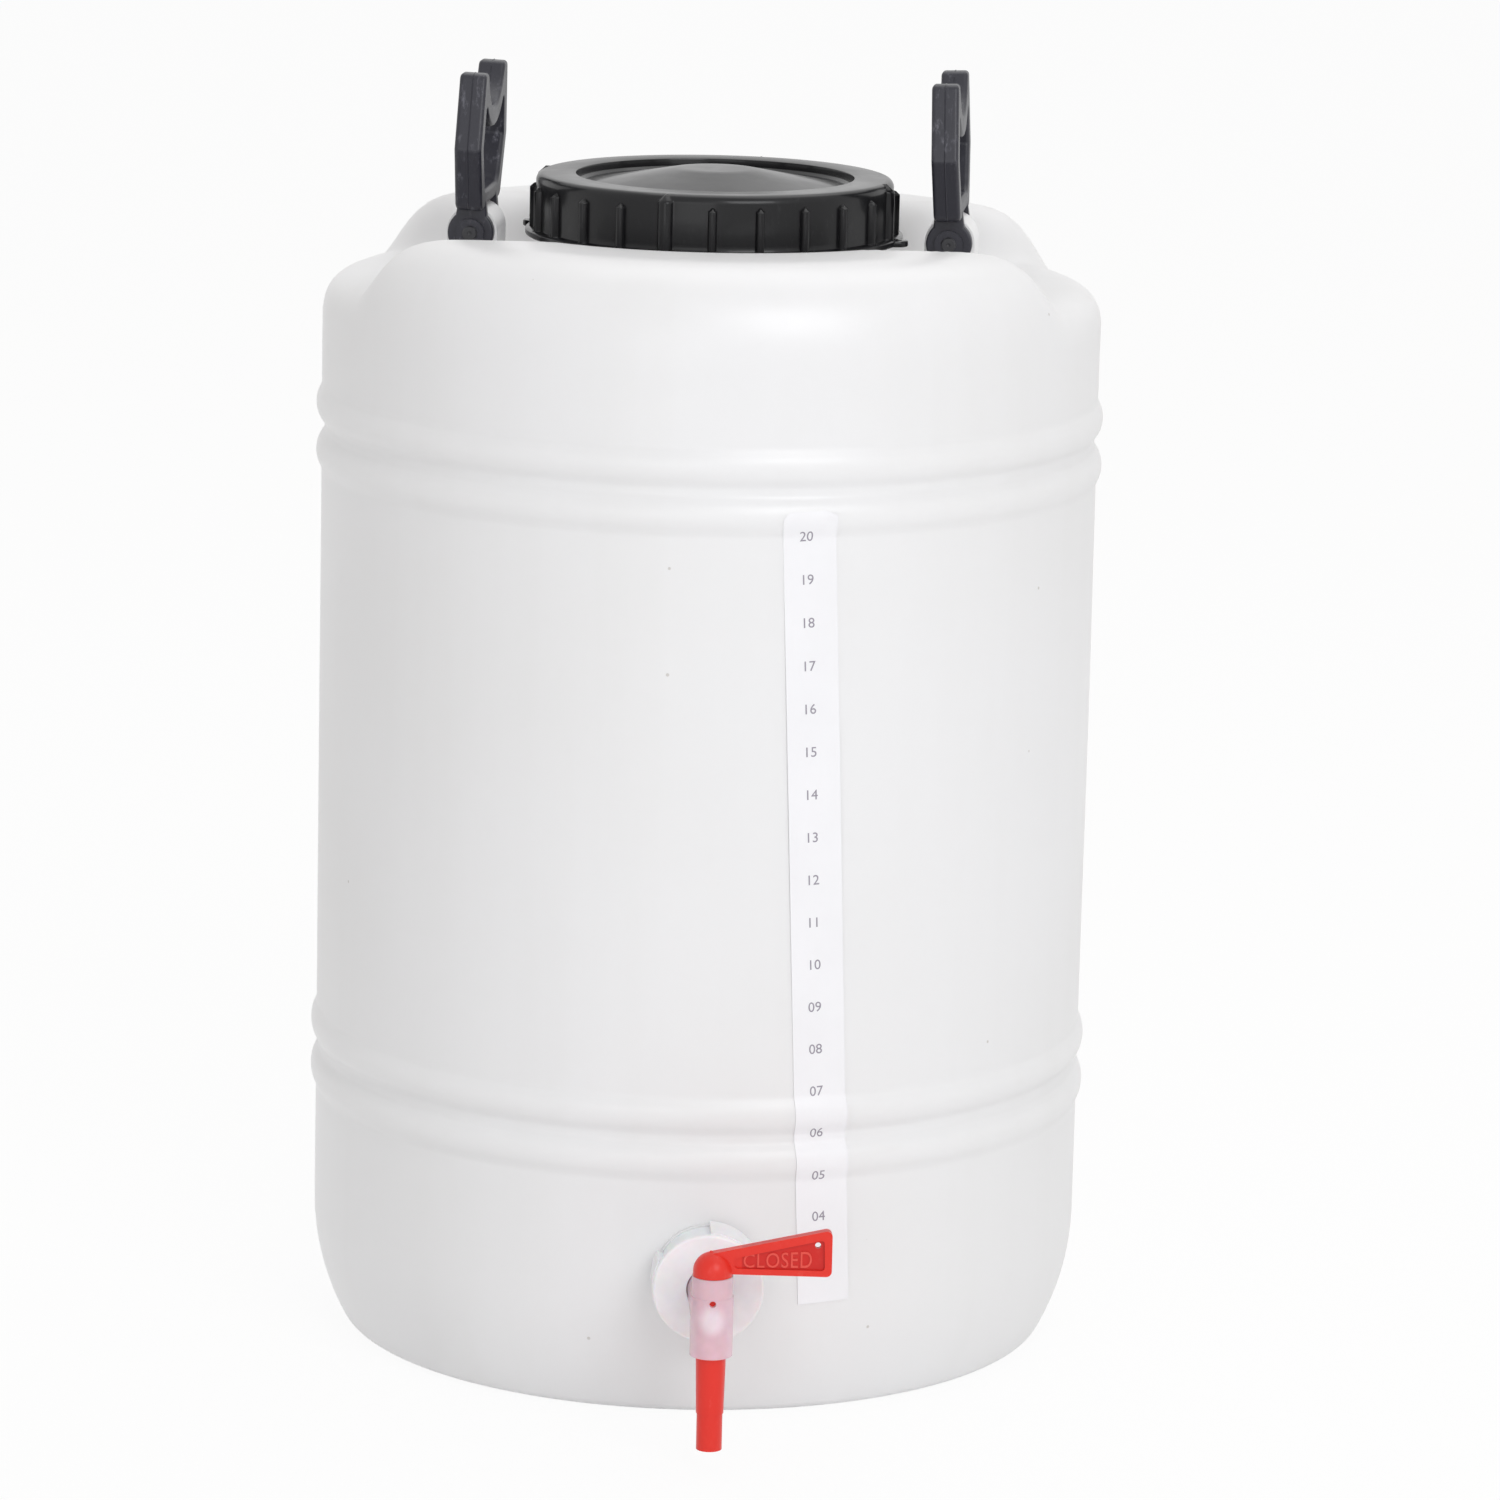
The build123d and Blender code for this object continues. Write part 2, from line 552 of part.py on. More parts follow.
def make_tap_key():
    """Turning key in one moulding: hollow plug with a side port, spout, dome and lever."""
    plug_r = SLEEVE_BORE_R - KEY_CLEARANCE
    half = Polyline(
        (0, SPOUT_END), (SPOUT_R, SPOUT_END), (SPOUT_R, SPOUT_STEP_Z), (SPOUT_STEP_R, SPOUT_STEP_Z),
        (SPOUT_NECK_R, SLEEVE_FOOT - 1.0), (plug_r, SLEEVE_FOOT), (plug_r, DOME_FOOT),
        (DOME_R, DOME_FOOT), (DOME_R, DOME_TOP - DOME_R))
    crown = CenterArc((0, DOME_TOP - DOME_R), DOME_R, 0, 90)
    section = make_face(Curve() + half.edges() + [crown, Line((0, DOME_TOP), (0, SPOUT_END))])
    key = revolve_about_z(section)

    blade = Polygon(
        (0, LEVER_ROOT_FOOT), (LEVER_LENGTH, LEVER_TIP_FOOT), (LEVER_LENGTH, LEVER_TIP_TOP),
        (0, LEVER_ROOT_TOP), align=None)
    tip = blade.vertices().filter_by_position(Axis.X, LEVER_LENGTH - 1.0, LEVER_LENGTH + 1.0)
    blade = fillet(tip, 2.0)
    lever = extrude(Plane.XZ * blade, LEVER_THICK / 2, both=True)
    panel = Polygon(*LEVER_PANEL, align=None)
    panel = fillet(panel.vertices(), 1.2)
    web = LEVER_THICK - 2 * LEVER_PANEL_DEPTH
    lever -= extrude(Plane.XZ * panel, LEVER_THICK, both=True)
    lever += extrude(Plane.XZ * panel, web / 2, both=True)
    lever -= Pos(LEVER_HOLE[0], 0, LEVER_HOLE[1]) * Rot(90, 0, 0) * Cylinder(LEVER_HOLE_R, LEVER_THICK)
    key += lever
    key -= ring(KEY_BORE_R, 0, SPOUT_END - 1.0, KEY_BORE_TOP)
    key -= tube_y(KEY_PORT_R, 0, 0, -SLEEVE_R)
    return TAP_TURN * Pos(0, TAP_Y, 0) * key


# ---- litre strip --------------------------------------------------------------------------

def make_strip(outside):
    """Printed strip, stuck on a little out of plumb, which follows the wall and its ribs."""
    length = STRIP_TOP - STRIP_FOOT
    half = STRIP_WIDTH / 2
    ear_w, ear_h = STRIP_DOG_EAR
    outline = Polygon(
        (-half, -length / 2), (half, -length / 2), (half, length / 2 - ear_h),
        (half - ear_w, length / 2), (-half + STRIP_CUT, length / 2), (-half, length / 2 - STRIP_CUT),
        align=None)
    middle = (STRIP_TOP + STRIP_FOOT) / 2
    place = Rot(0, 0, STRIP_AZIMUTH) * Pos(0, -BODY_R / 2, middle) * Rot(90, 0, 0)
    prism = place * Rot(0, 0, STRIP_LEAN) * extrude(outline, BODY_R)
    sleeve = revolve_about_z(body_profile(-STRIP_THICK)) - revolve_about_z(body_profile(0))
    return sleeve & prism


# ---- write the parts ----------------------------------------------------------------------

def build():
    outside = filled_drum(0)
    nodes = {
        "tank": (make_tank(outside), MILKY),
        "outlet_nozzle": (make_nozzle(outside), MILKY),
        "nozzle_gasket": (make_tap_gasket(), WHITE),
        "tap_cap": (make_tap_cap(), MILKY),
        "tap_body": (make_tap_body(), MILKY),
        "tap_key": (make_tap_key(), RED),
        "level_strip": (make_strip(outside), WHITE),
        "screw_ring": (make_screw_ring(), BLACK),
        "inner_lid": (make_inner_lid(), BLACK),
        "lid_gasket": (ring(GASKET_OUT_R, NECK_BORE_R, NECK_TOP, NECK_TOP + GASKET_THICK), BLACK),
        "handle_left": (make_handle(-HANDLE_X), BLACK),
        "handle_right": (make_handle(HANDLE_X), BLACK),
        "pin_left": (make_pin(-HANDLE_X), BLACK),
        "pin_right": (make_pin(HANDLE_X), BLACK),
    }
    return nodes


os.makedirs("parts", exist_ok=True)
for name, (solid, colour) in build().items():
    solid.color = colour
    solid.label = name
    export_step(solid, f"parts/{name}.step")
    print(name, round(solid.volume / 1000.0, 2), "cm3", len(solid.solids()), "solid")
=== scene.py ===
"""Looks for a wide-neck laboratory carboy with a lever tap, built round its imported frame.

Sizes are in millimetres unless a name ends in _m, and angles in degrees unless it ends in _rad. Materials
work in metres. The drum's axis is Z and its base stands on z = 0.
"""

from __future__ import annotations

import logging
import math
from dataclasses import dataclass
from enum import Enum
from typing import Iterable, Sequence

import bmesh
import bpy
import numpy as np
from mathutils import Matrix, Vector

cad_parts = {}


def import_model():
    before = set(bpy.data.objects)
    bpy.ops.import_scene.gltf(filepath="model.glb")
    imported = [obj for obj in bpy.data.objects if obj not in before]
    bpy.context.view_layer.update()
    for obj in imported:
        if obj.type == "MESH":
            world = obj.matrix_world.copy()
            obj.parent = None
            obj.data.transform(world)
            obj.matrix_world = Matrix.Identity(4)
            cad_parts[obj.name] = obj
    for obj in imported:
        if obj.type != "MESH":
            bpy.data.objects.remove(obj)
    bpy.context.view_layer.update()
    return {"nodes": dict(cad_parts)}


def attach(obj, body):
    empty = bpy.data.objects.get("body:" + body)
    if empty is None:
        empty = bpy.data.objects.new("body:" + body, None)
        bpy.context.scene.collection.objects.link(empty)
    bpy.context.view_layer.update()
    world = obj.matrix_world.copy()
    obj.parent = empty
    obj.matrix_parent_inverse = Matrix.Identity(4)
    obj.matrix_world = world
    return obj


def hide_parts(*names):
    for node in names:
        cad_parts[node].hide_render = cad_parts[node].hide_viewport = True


LOG = logging.getLogger("carboy")
MM = 0.001
CAPITAL_SHARE = 0.70
Colour = tuple[float, float, float]
Point = tuple[float, float, float]
Outline = list[tuple[float, float]]


# ---- shader expressions -------------------------------------------------------------------


class Term:
    """A shader socket that can be used in arithmetic; each operator adds a Math node."""

    def __init__(self, finish: "Finish", socket: bpy.types.NodeSocket) -> None:
        """Wraps an output socket of a finish's node tree."""
        self.finish = finish
        self.socket = socket

    def math(self, operation: str, *others: "Term | float") -> "Term":
        """Adds a Math node with this term as its first value.

        Args:
            operation: the Math node's operation.
            others: the further values, as terms or numbers.

        Returns:
            The node's result.
        """
        node = self.finish.node("ShaderNodeMath", {"operation": operation}, [self, *others])
        return Term(self.finish, node.outputs[0])

    def flipped(self, operation: str, other: float) -> "Term":
        """Adds a Math node with a number as its first value and this term as its second."""
        node = self.finish.node("ShaderNodeMath", {"operation": operation}, [other, self])
        return Term(self.finish, node.outputs[0])

    def __add__(self, other: "Term | float") -> "Term":
        """Sum."""
        return self.math("ADD", other)

    __radd__ = __add__

    def __sub__(self, other: "Term | float") -> "Term":
        """Difference."""
        return self.math("SUBTRACT", other)

    def __rsub__(self, other: float) -> "Term":
        """A number less this term."""
        return self.flipped("SUBTRACT", other)

    def __mul__(self, other: "Term | float") -> "Term":
        """Product."""
        return self.math("MULTIPLY", other)

    __rmul__ = __mul__

    def __abs__(self) -> "Term":
        """Size without its sign."""
        return self.math("ABSOLUTE")

    def smooth(self, low: float, high: float) -> "Term":
        """Smooth step from 0 at low to 1 at high; low may be the larger."""
        settings = {"interpolation_type": "SMOOTHSTEP"}
        node = self.finish.node("ShaderNodeMapRange", settings, {"Value": self})
        node.inputs["From Min"].default_value = low
        node.inputs["From Max"].default_value = high
        return Term(self.finish, node.outputs[0])


class Finish:
    """A material under construction, with the few nodes that all the finishes share."""

    def __init__(self, name: str) -> None:
        """Starts a material of that name with one Principled shader."""
        self.material = bpy.data.materials.new(name)
        self.material.use_nodes = True
        self.tree = self.material.node_tree
        self.tree.nodes.clear()
        self.output = self.tree.nodes.new("ShaderNodeOutputMaterial")
        self.shader = self.tree.nodes.new("ShaderNodeBsdfPrincipled")
        self.tree.links.new(self.shader.outputs[0], self.output.inputs["Surface"])
        self.place = self.tree.nodes.new("ShaderNodeTexCoord").outputs["Object"]

    def node(
        self,
        kind: str,
        settings: dict[str, object] | None = None,
        values: dict[str, object] | Sequence[object] = (),
    ) -> bpy.types.Node:
        """Adds a node.

        Args:
            kind: the node's type name.
            settings: its properties, set before its sockets.
            values: its inputs, by name or in order, each a Term, a socket or a plain value.

        Returns:
            The new node.
        """
        node = self.tree.nodes.new(kind)
        for key, value in (settings or {}).items():
            setattr(node, key, value)
        pairs = values.items() if isinstance(values, dict) else enumerate(values)
        for key, value in pairs:
            self.feed(node.inputs[key], value)
        return node

    def feed(self, target: bpy.types.NodeSocket, value: object) -> None:
        """Links a Term or a socket to an input, or sets the input to a plain value."""
        if isinstance(value, Term):
            self.tree.links.new(value.socket, target)
        elif isinstance(value, bpy.types.NodeSocket):
            self.tree.links.new(value, target)
        else:
            target.default_value = value

    def set(self, **values: object) -> None:
        """Sets the Principled shader's inputs; an underscore in a name stands for a space."""
        for key, value in values.items():
            name = key.replace("_", " ")
            if isinstance(value, tuple) and len(value) == 3 and name.endswith(("Color", "Tint")):
                value = (*value, 1.0)
            self.feed(self.shader.inputs[name], value)

    def axis(self, letter: str) -> Term:
        """One coordinate of the point on the object, in metres."""
        node = self.node("ShaderNodeSeparateXYZ", values=[self.place])
        return Term(self, node.outputs[letter])

    def stretched(self, x: float, y: float, z: float) -> bpy.types.NodeSocket:
        """The place on the object, scaled along each axis."""
        node = self.node("ShaderNodeMapping", values={"Vector": self.place, "Scale": (x, y, z)})
        return node.outputs[0]

    def noise(
        self,
        scale: float,
        detail: float = 2.0,
        roughness: float = 0.5,
        place: bpy.types.NodeSocket | None = None,
    ) -> Term:
        """Soft noise between 0 and 1, with a scale in cycles a metre."""
        values = {"Vector": place or self.place, "Scale": scale, "Detail": detail, "Roughness": roughness}
        return Term(self, self.node("ShaderNodeTexNoise", values=values).outputs[0])

    def specks(self, scale: float, size: float) -> Term:
        """Scattered dots: 1 inside a dot. size is the dot's share of its cell."""
        values = {"Vector": self.place, "Scale": scale, "Randomness": 1.0}
        cells = self.node("ShaderNodeTexVoronoi", {"feature": "F1"}, values)
        return Term(self, cells.outputs["Distance"]).smooth(size, size * 0.6)

    def mix(self, factor: Term, first: Colour | Term, second: Colour) -> Term:
        """A colour that goes from first, where factor is 0, to second, where it is 1."""
        node = self.node("ShaderNodeMix", {"data_type": "RGBA"}, {0: factor})
        self.feed(node.inputs[6], first if isinstance(first, Term) else (*first, 1.0))
        self.feed(node.inputs[7], (*second, 1.0))
        return Term(self, node.outputs[2])

    def bump(self, height: Term, distance: float, strength: float = 1.0) -> None:
        """Presses a height pattern into the surface; distance is in metres."""
        values = {"Height": height, "Distance": distance, "Strength": strength}
        self.feed(self.shader.inputs["Normal"], self.node("ShaderNodeBump", values=values).outputs[0])


@dataclass(frozen=True)
class MilkyPlastic:
    """Natural polyethylene, blow-moulded: milky, satin, faintly cloudy, with handling marks."""

    colour: Colour = (0.875, 0.875, 0.885)
    cloud: Colour = (0.84, 0.838, 0.84)
    speck: Colour = (0.42, 0.38, 0.33)
    roughness: float = 0.33
    glow: float = 0.20
    glow_depth_m: float = 0.012

    def build(self, name: str) -> bpy.types.Material:
        """Returns the finished material."""
        finish = Finish(name)
        cloud = finish.noise(7.0, 1.0, 0.55).smooth(0.35, 0.68)
        streaks = finish.noise(60.0, 2.0, 0.5, finish.stretched(1.0, 1.0, 0.06)).smooth(0.40, 0.75)
        specks = finish.specks(36.0, 0.028)
        scuffs = finish.noise(150.0, 2.0, 0.7, finish.stretched(1.0, 1.0, 0.35)).smooth(0.62, 0.78)
        worn = finish.noise(9.0, 2.0).smooth(0.50, 0.66) * scuffs
        tone = finish.mix(cloud * 0.6 + streaks * 0.25, self.colour, self.cloud)
        tone = finish.mix(specks * 0.5, tone, self.speck)
        finish.set(Base_Color=tone)
        finish.set(Roughness=self.roughness + cloud * 0.05 + worn * 0.22)
        finish.set(Subsurface_Weight=self.glow, Subsurface_Radius=(1.0, 0.97, 0.94))
        finish.set(Subsurface_Scale=self.glow_depth_m, IOR=1.5)
        grain = finish.noise(900.0, 0.0, 0.6)
        ripple = finish.noise(34.0, 1.0, 0.5, finish.stretched(1.0, 1.0, 0.5))
        finish.bump(ripple * 0.7 + grain * 0.02 + worn * -0.05, 0.0006, 0.35)
        return finish.material


@dataclass(frozen=True)
class ClearishPlastic:
    """Thin natural polyethylene of the tap: lets what is behind it show through faintly."""

    colour: Colour = (0.93, 0.67, 0.755)
    cloud: Colour = (0.90, 0.63, 0.72)
    see_through: float = 0.42
    roughness: float = 0.28
    # where the painted light over the key's side port sits, its size and its colour
    port_light_at_m: Point | None = None
    port_light_size_m: tuple[float, float] = (0.0046, 0.0050)
    port_light_tone: Colour = (0.86, 0.80, 0.84)

    def build(self, name: str) -> bpy.types.Material:
        """Returns the finished material, with a painted pale patch of light over the key's side port."""
        finish = Finish(name)
        clouds = finish.noise(140.0, 2.0).smooth(0.35, 0.70)
        tone = finish.mix(clouds * 0.5, self.colour, self.cloud)
        solid = clouds * 0.06 + (1.0 - self.see_through)
        # Painted light: a paler, more solid patch over the key's side port stands in for the light seen in
        # it.
        if self.port_light_at_m is not None:
            wide, tall = self.port_light_size_m
            aside = (finish.axis("X") - self.port_light_at_m[0]) * (1 / wide)
            above = (finish.axis("Z") - self.port_light_at_m[2]) * (1 / tall)
            off = (aside * aside + above * above).math("SQRT")
            front = finish.axis("Y").smooth(self.port_light_at_m[1] + 0.002, self.port_light_at_m[1])
            solid = solid + off.smooth(1.45, 0.40) * front * (self.see_through * 0.6)
            tone = finish.mix(off.smooth(1.45, 0.40) * front * 0.55, tone, self.port_light_tone)
        finish.set(Base_Color=tone, Roughness=self.roughness + clouds * 0.08, Alpha=solid)
        finish.set(IOR=1.5, Subsurface_Weight=0.3, Subsurface_Scale=0.004)
        finish.bump(finish.noise(260.0, 3.0), 0.0003, 0.25)
        return finish.material


@dataclass(frozen=True)
class PanelShade:
    """Painted shade in a sunk panel on both sides of an upright lever: its floor is darkened, as shade
    falls in the recess.
    """

    turn_deg: float
    middle_m: float
    half_m: float
    start_m: float
    foot_m: float
    # the colour of the painted shade on the panels' floors
    colour: Colour

    def depth(self, finish: Finish) -> Term:
        """Where the shade is painted: 1 on the panels' floors, 0 on the rim round them and elsewhere."""
        sin = math.sin(math.radians(self.turn_deg))
        cos = math.cos(math.radians(self.turn_deg))
        along = finish.axis("X") * cos + finish.axis("Y") * sin
        through = abs(finish.axis("Y") * cos - finish.axis("X") * sin - self.middle_m)
        floor = through.smooth(self.half_m + 0.0006, self.half_m + 0.0002)
        past = along.smooth(self.start_m, self.start_m + 0.0004)
        return floor * past * finish.axis("Z").smooth(self.foot_m, self.foot_m + 0.0004)


@dataclass(frozen=True)
class MouldedPlastic:
    """Solid coloured moulding plastic, from glossy to satin, with fine wear, and painted shade on sunk
    panels where it has them.
    """

    colour: Colour
    worn: Colour
    roughness: float
    grain: float
    wear: float
    coat: float = 0.0
    shine: float = 0.5
    # painted shade on the floors of sunk panels, if the moulding has them
    panel_shade: PanelShade | None = None

    def build(self, name: str) -> bpy.types.Material:
        """Returns the finished material."""
        finish = Finish(name)
        cloud = finish.noise(45.0, 3.0, 0.6).smooth(0.35, 0.70)
        scratches = finish.noise(420.0, 5.0, 0.75, finish.stretched(1.0, 0.6, 0.4)).smooth(0.52, 0.74)
        patches = finish.noise(28.0, 3.0, 0.6).smooth(0.38, 0.68)
        rubbed = scratches * patches * self.wear
        tone = finish.mix(rubbed, self.colour, self.worn)
        # Painted shade: the panels' floors are mixed towards the shade colour, as the shade in the recess.
        if self.panel_shade is not None:
            tone = finish.mix(self.panel_shade.depth(finish) * 0.6, tone, self.panel_shade.colour)
        finish.set(Base_Color=tone)
        finish.set(Roughness=self.roughness + cloud * 0.06 + rubbed * 0.25, IOR=1.5)
        finish.set(Coat_Weight=self.coat, Coat_Roughness=0.10, Specular_IOR_Level=self.shine)
        texture = finish.noise(1600.0, 3.0, 0.6) * self.grain + cloud * 0.15
        finish.bump(texture, 0.0002, 0.5)
        return finish.material


@dataclass(frozen=True)
class PlainFilm:
    """Printed film or its ink: even colour with a faint fibre."""

    colour: Colour
    roughness: float = 0.5

    def build(self, name: str) -> bpy.types.Material:
        """Returns the finished material."""
        finish = Finish(name)
        shade = tuple(channel * 0.95 for channel in self.colour)
        cloud = finish.noise(30.0, 3.0).smooth(0.35, 0.7)
        finish.set(Base_Color=finish.mix(cloud * 0.5, self.colour, shade))
        finish.set(Roughness=self.roughness + cloud * 0.06)
        finish.bump(finish.noise(700.0, 3.0), 0.0001, 0.3)
        return finish.material


# Painted shade on the floors of the key's two sunk lever panels.
LEVER_PANEL_SHADE = PanelShade(
    turn_deg=3.2, middle_m=-0.200, half_m=0.001, start_m=0.010, foot_m=0.0712,
    colour=(0.50, 0.006, 0.006))


class Look(Enum):
    """The finishes of the carboy: each value is the record's slot and the recipe."""

    TANK = ("tank_plastic", MilkyPlastic())
    TAP_WHITE = ("tap_plastic", ClearishPlastic(
        colour=(0.92, 0.91, 0.94), cloud=(0.88, 0.87, 0.90), see_through=0.05))
    # The sleeve carries painted light over the key's side port.
    TAP_SLEEVE = ("tap_sleeve", ClearishPlastic(port_light_at_m=(0.0115, -0.203, 0.057)))
    # The red key carries painted shade on its sunk lever panels.
    RED = ("red_plastic", MouldedPlastic(
        (0.74, 0.030, 0.018), worn=(0.84, 0.16, 0.12),
        roughness=0.30, grain=0.05, wear=0.3, shine=0.35, panel_shade=LEVER_PANEL_SHADE))
    WORDS = ("red_plastic", MouldedPlastic(
        (0.76, 0.075, 0.055), worn=(0.84, 0.20, 0.16),
        roughness=0.30, grain=0.05, wear=0.8, shine=0.4))
    STRIP = ("strip_film", PlainFilm((0.865, 0.865, 0.89), 0.42))
    INK = ("strip_film", PlainFilm((0.30, 0.28, 0.33), 0.5))
    LID = ("lid_plastic", MouldedPlastic(
        (0.004, 0.004, 0.005), worn=(0.08, 0.08, 0.085),
        roughness=0.30, grain=0.03, wear=0.16, coat=0.25, shine=0.22))
    HANDLE = ("handle_plastic", MouldedPlastic(
        (0.022, 0.022, 0.031), worn=(0.24, 0.24, 0.28),
        roughness=0.38, grain=0.45, wear=0.8, shine=0.45))
    PIN = ("pin_plastic", MouldedPlastic(
        (0.03, 0.03, 0.034), worn=(0.2, 0.2, 0.2),
        roughness=0.34, grain=0.1, wear=0.4))
    GASKET = ("gasket_rubber", MouldedPlastic(
        (0.62, 0.61, 0.58), worn=(0.5, 0.5, 0.48),
        roughness=0.62, grain=0.3, wear=0.3))


class Finishes:
    """Makes each look's material once and puts it on pieces."""

    def __init__(self) -> None:
        """Builds every material."""
        self.made = {look: look.value[1].build(f"finish_{look.name.lower()}") for look in Look}

    def dress(self, piece: bpy.types.Object, look: Look) -> None:
        """Gives a piece one look."""
        piece.data.materials.clear()
        piece.data.materials.append(self.made[look])

    def redress(self, node: bpy.types.Object, look: Look) -> None:
        """Puts a look on a frame node's own material slots."""
        for slot in node.material_slots:
            slot.material = self.made[look]


# ---- meshes -------------------------------------------------------------------------------


def new_piece(name: str, mesh: bpy.types.Mesh, smooth_deg: float | None = 40.0) -> bpy.types.Object:
    """Puts a finished mesh in the scene, shaded smooth up to an angle."""
    mesh.name = name
    piece = bpy.data.objects.new(name, mesh)
    bpy.context.scene.collection.objects.link(piece)
    if smooth_deg is not None:
        mesh.shade_smooth()
        mesh.set_sharp_from_angle(angle=math.radians(smooth_deg))
    return piece


def mesh_of(verts: np.ndarray, faces: Iterable[Sequence[int]], to_m: float = MM) -> bpy.types.Mesh:
    """A mesh from points in millimetres."""
    mesh = bpy.data.meshes.new("mesh")
    mesh.from_pydata([tuple(v) for v in np.asarray(verts, float) * to_m], [], [tuple(f) for f in faces])
    mesh.validate()
    mesh.update()
    return mesh


def outward(mesh: bpy.types.Mesh) -> bpy.types.Mesh:
    """Merges doubles and turns a closed mesh's faces outwards."""
    work = bmesh.new()
    work.from_mesh(mesh)
    bmesh.ops.remove_doubles(work, verts=work.verts, dist=1e-6)
    bmesh.ops.recalc_face_normals(work, faces=work.faces)
    work.to_mesh(mesh)
    work.free()
    return mesh


def grid_faces(rows: int, columns: int, rows_closed: bool = False) -> list[tuple[int, int, int, int]]:
    """Quads of a grid whose columns go right round; rows_closed joins the last row to the first."""
    faces = []
    for row in range(rows if rows_closed else rows - 1):
        above = (row + 1) % rows
        for column in range(columns):
            right = (column + 1) % columns
            faces.append((
                row * columns + column,
                row * columns + right,
                above * columns + right,
                above * columns + column,
            ))
    return faces


def revolved(outline: Outline, columns: int) -> bpy.types.Mesh:
    """Turns an outline of (r, z) points about Z.

    Args:
        outline: the section, whose ends lie on the axis.
        columns: how many steps go round.

    Returns:
        A closed mesh with its faces outwards.
    """
    turns = np.linspace(0, 2 * math.pi, columns, endpoint=False)
    r = np.array([p[0] for p in outline])[:, None]
    z = np.array([p[1] for p in outline])[:, None]
    points = np.stack([r * np.cos(turns), r * np.sin(turns), z + 0 * turns], axis=-1)
    return outward(mesh_of(points.reshape(-1, 3), grid_faces(len(outline), columns)))


def arc(centre: tuple[float, float], radius: float, start: float, end: float, steps: int) -> Outline:
    """Points on an arc, with angles in degrees."""
    angles = np.radians(np.linspace(start, end, steps + 1))
    return [(centre[0] + radius * math.cos(a), centre[1] + radius * math.sin(a)) for a in angles]


def rounded(corners: Sequence[tuple[float, float, float]], steps: int = 6) -> Outline:
    """An open line with rounded corners.

    Args:
        corners: (x, y, radius) for each corner; a radius of 0 keeps it sharp, as the two ends are.
        steps: segments on each round.

    Returns:
        The outline's points, in order.
    """
    points: Outline = []
    for index, (x, y, radius) in enumerate(corners):
        if radius <= 0:
            points.append((x, y))
            continue
        here = Vector((x, y))
        before = (Vector(corners[index - 1][:2]) - here).normalized()
        after = (Vector(corners[index + 1][:2]) - here).normalized()
        half = before.angle(after) / 2
        centre = here + (before + after).normalized() * (radius / math.sin(half))
        first = here + before * (radius / math.tan(half)) - centre
        last = here + after * (radius / math.tan(half)) - centre
        turn = first.angle_signed(last)
        for step in range(steps + 1):
            spot = centre + Matrix.Rotation(-turn * step / steps, 2) @ first
            points.append((spot.x, spot.y))
    return points


def extruded(outline: Outline, depth: float, along: Matrix) -> bpy.types.Mesh:
    """A closed block: an outline in its own XY plane, thickened by depth about it, then placed."""
    count = len(outline)
    verts = [along @ Vector((x, y, side * depth / 2)) for side in (-1, 1) for x, y in outline]
    faces: list[list[int]] = [list(range(count)), list(range(count, 2 * count))]
    for i in range(count):
        j = (i + 1) % count
        faces.append([i, j, j + count, i + count])
    return outward(mesh_of(np.array([tuple(v) for v in verts]), faces))


def applied(piece: bpy.types.Object) -> bpy.types.Object:
    """Replaces a piece's mesh by its evaluated form and drops its modifiers."""
    graph = bpy.context.evaluated_depsgraph_get()
    mesh = bpy.data.meshes.new_from_object(piece.evaluated_get(graph))
    piece.modifiers.clear()
    piece.data = mesh
    mesh.name = piece.name
    return piece


def combine(target: bpy.types.Object, tool_mesh: bpy.types.Mesh, operation: str) -> bpy.types.Object:
    """Joins a tool mesh to a piece, or cuts it out, and deletes the tool."""
    tool = new_piece("tool", tool_mesh, None)
    step = target.modifiers.new("combine", "BOOLEAN")
    step.operation = operation
    step.solver = "EXACT"
    step.object = tool
    applied(target)
    bpy.data.objects.remove(tool)
    return target


def smooth_max(a: np.ndarray, b: np.ndarray, soft: float) -> np.ndarray:
    """The larger of two values, with a fillet of about soft where they cross."""
    h = np.clip(0.5 + 0.5 * (a - b) / soft, 0, 1)
    return b + (a - b) * h + soft * h * (1 - h)


def smooth_step(value: np.ndarray | float, low: float, high: float) -> np.ndarray:
    """Smooth step from 0 at low to 1 at high."""
    t = np.clip((np.asarray(value, float) - low) / (high - low), 0, 1)
    return t * t * (3 - 2 * t)


# ---- geometry nodes -----------------------------------------------------------------------


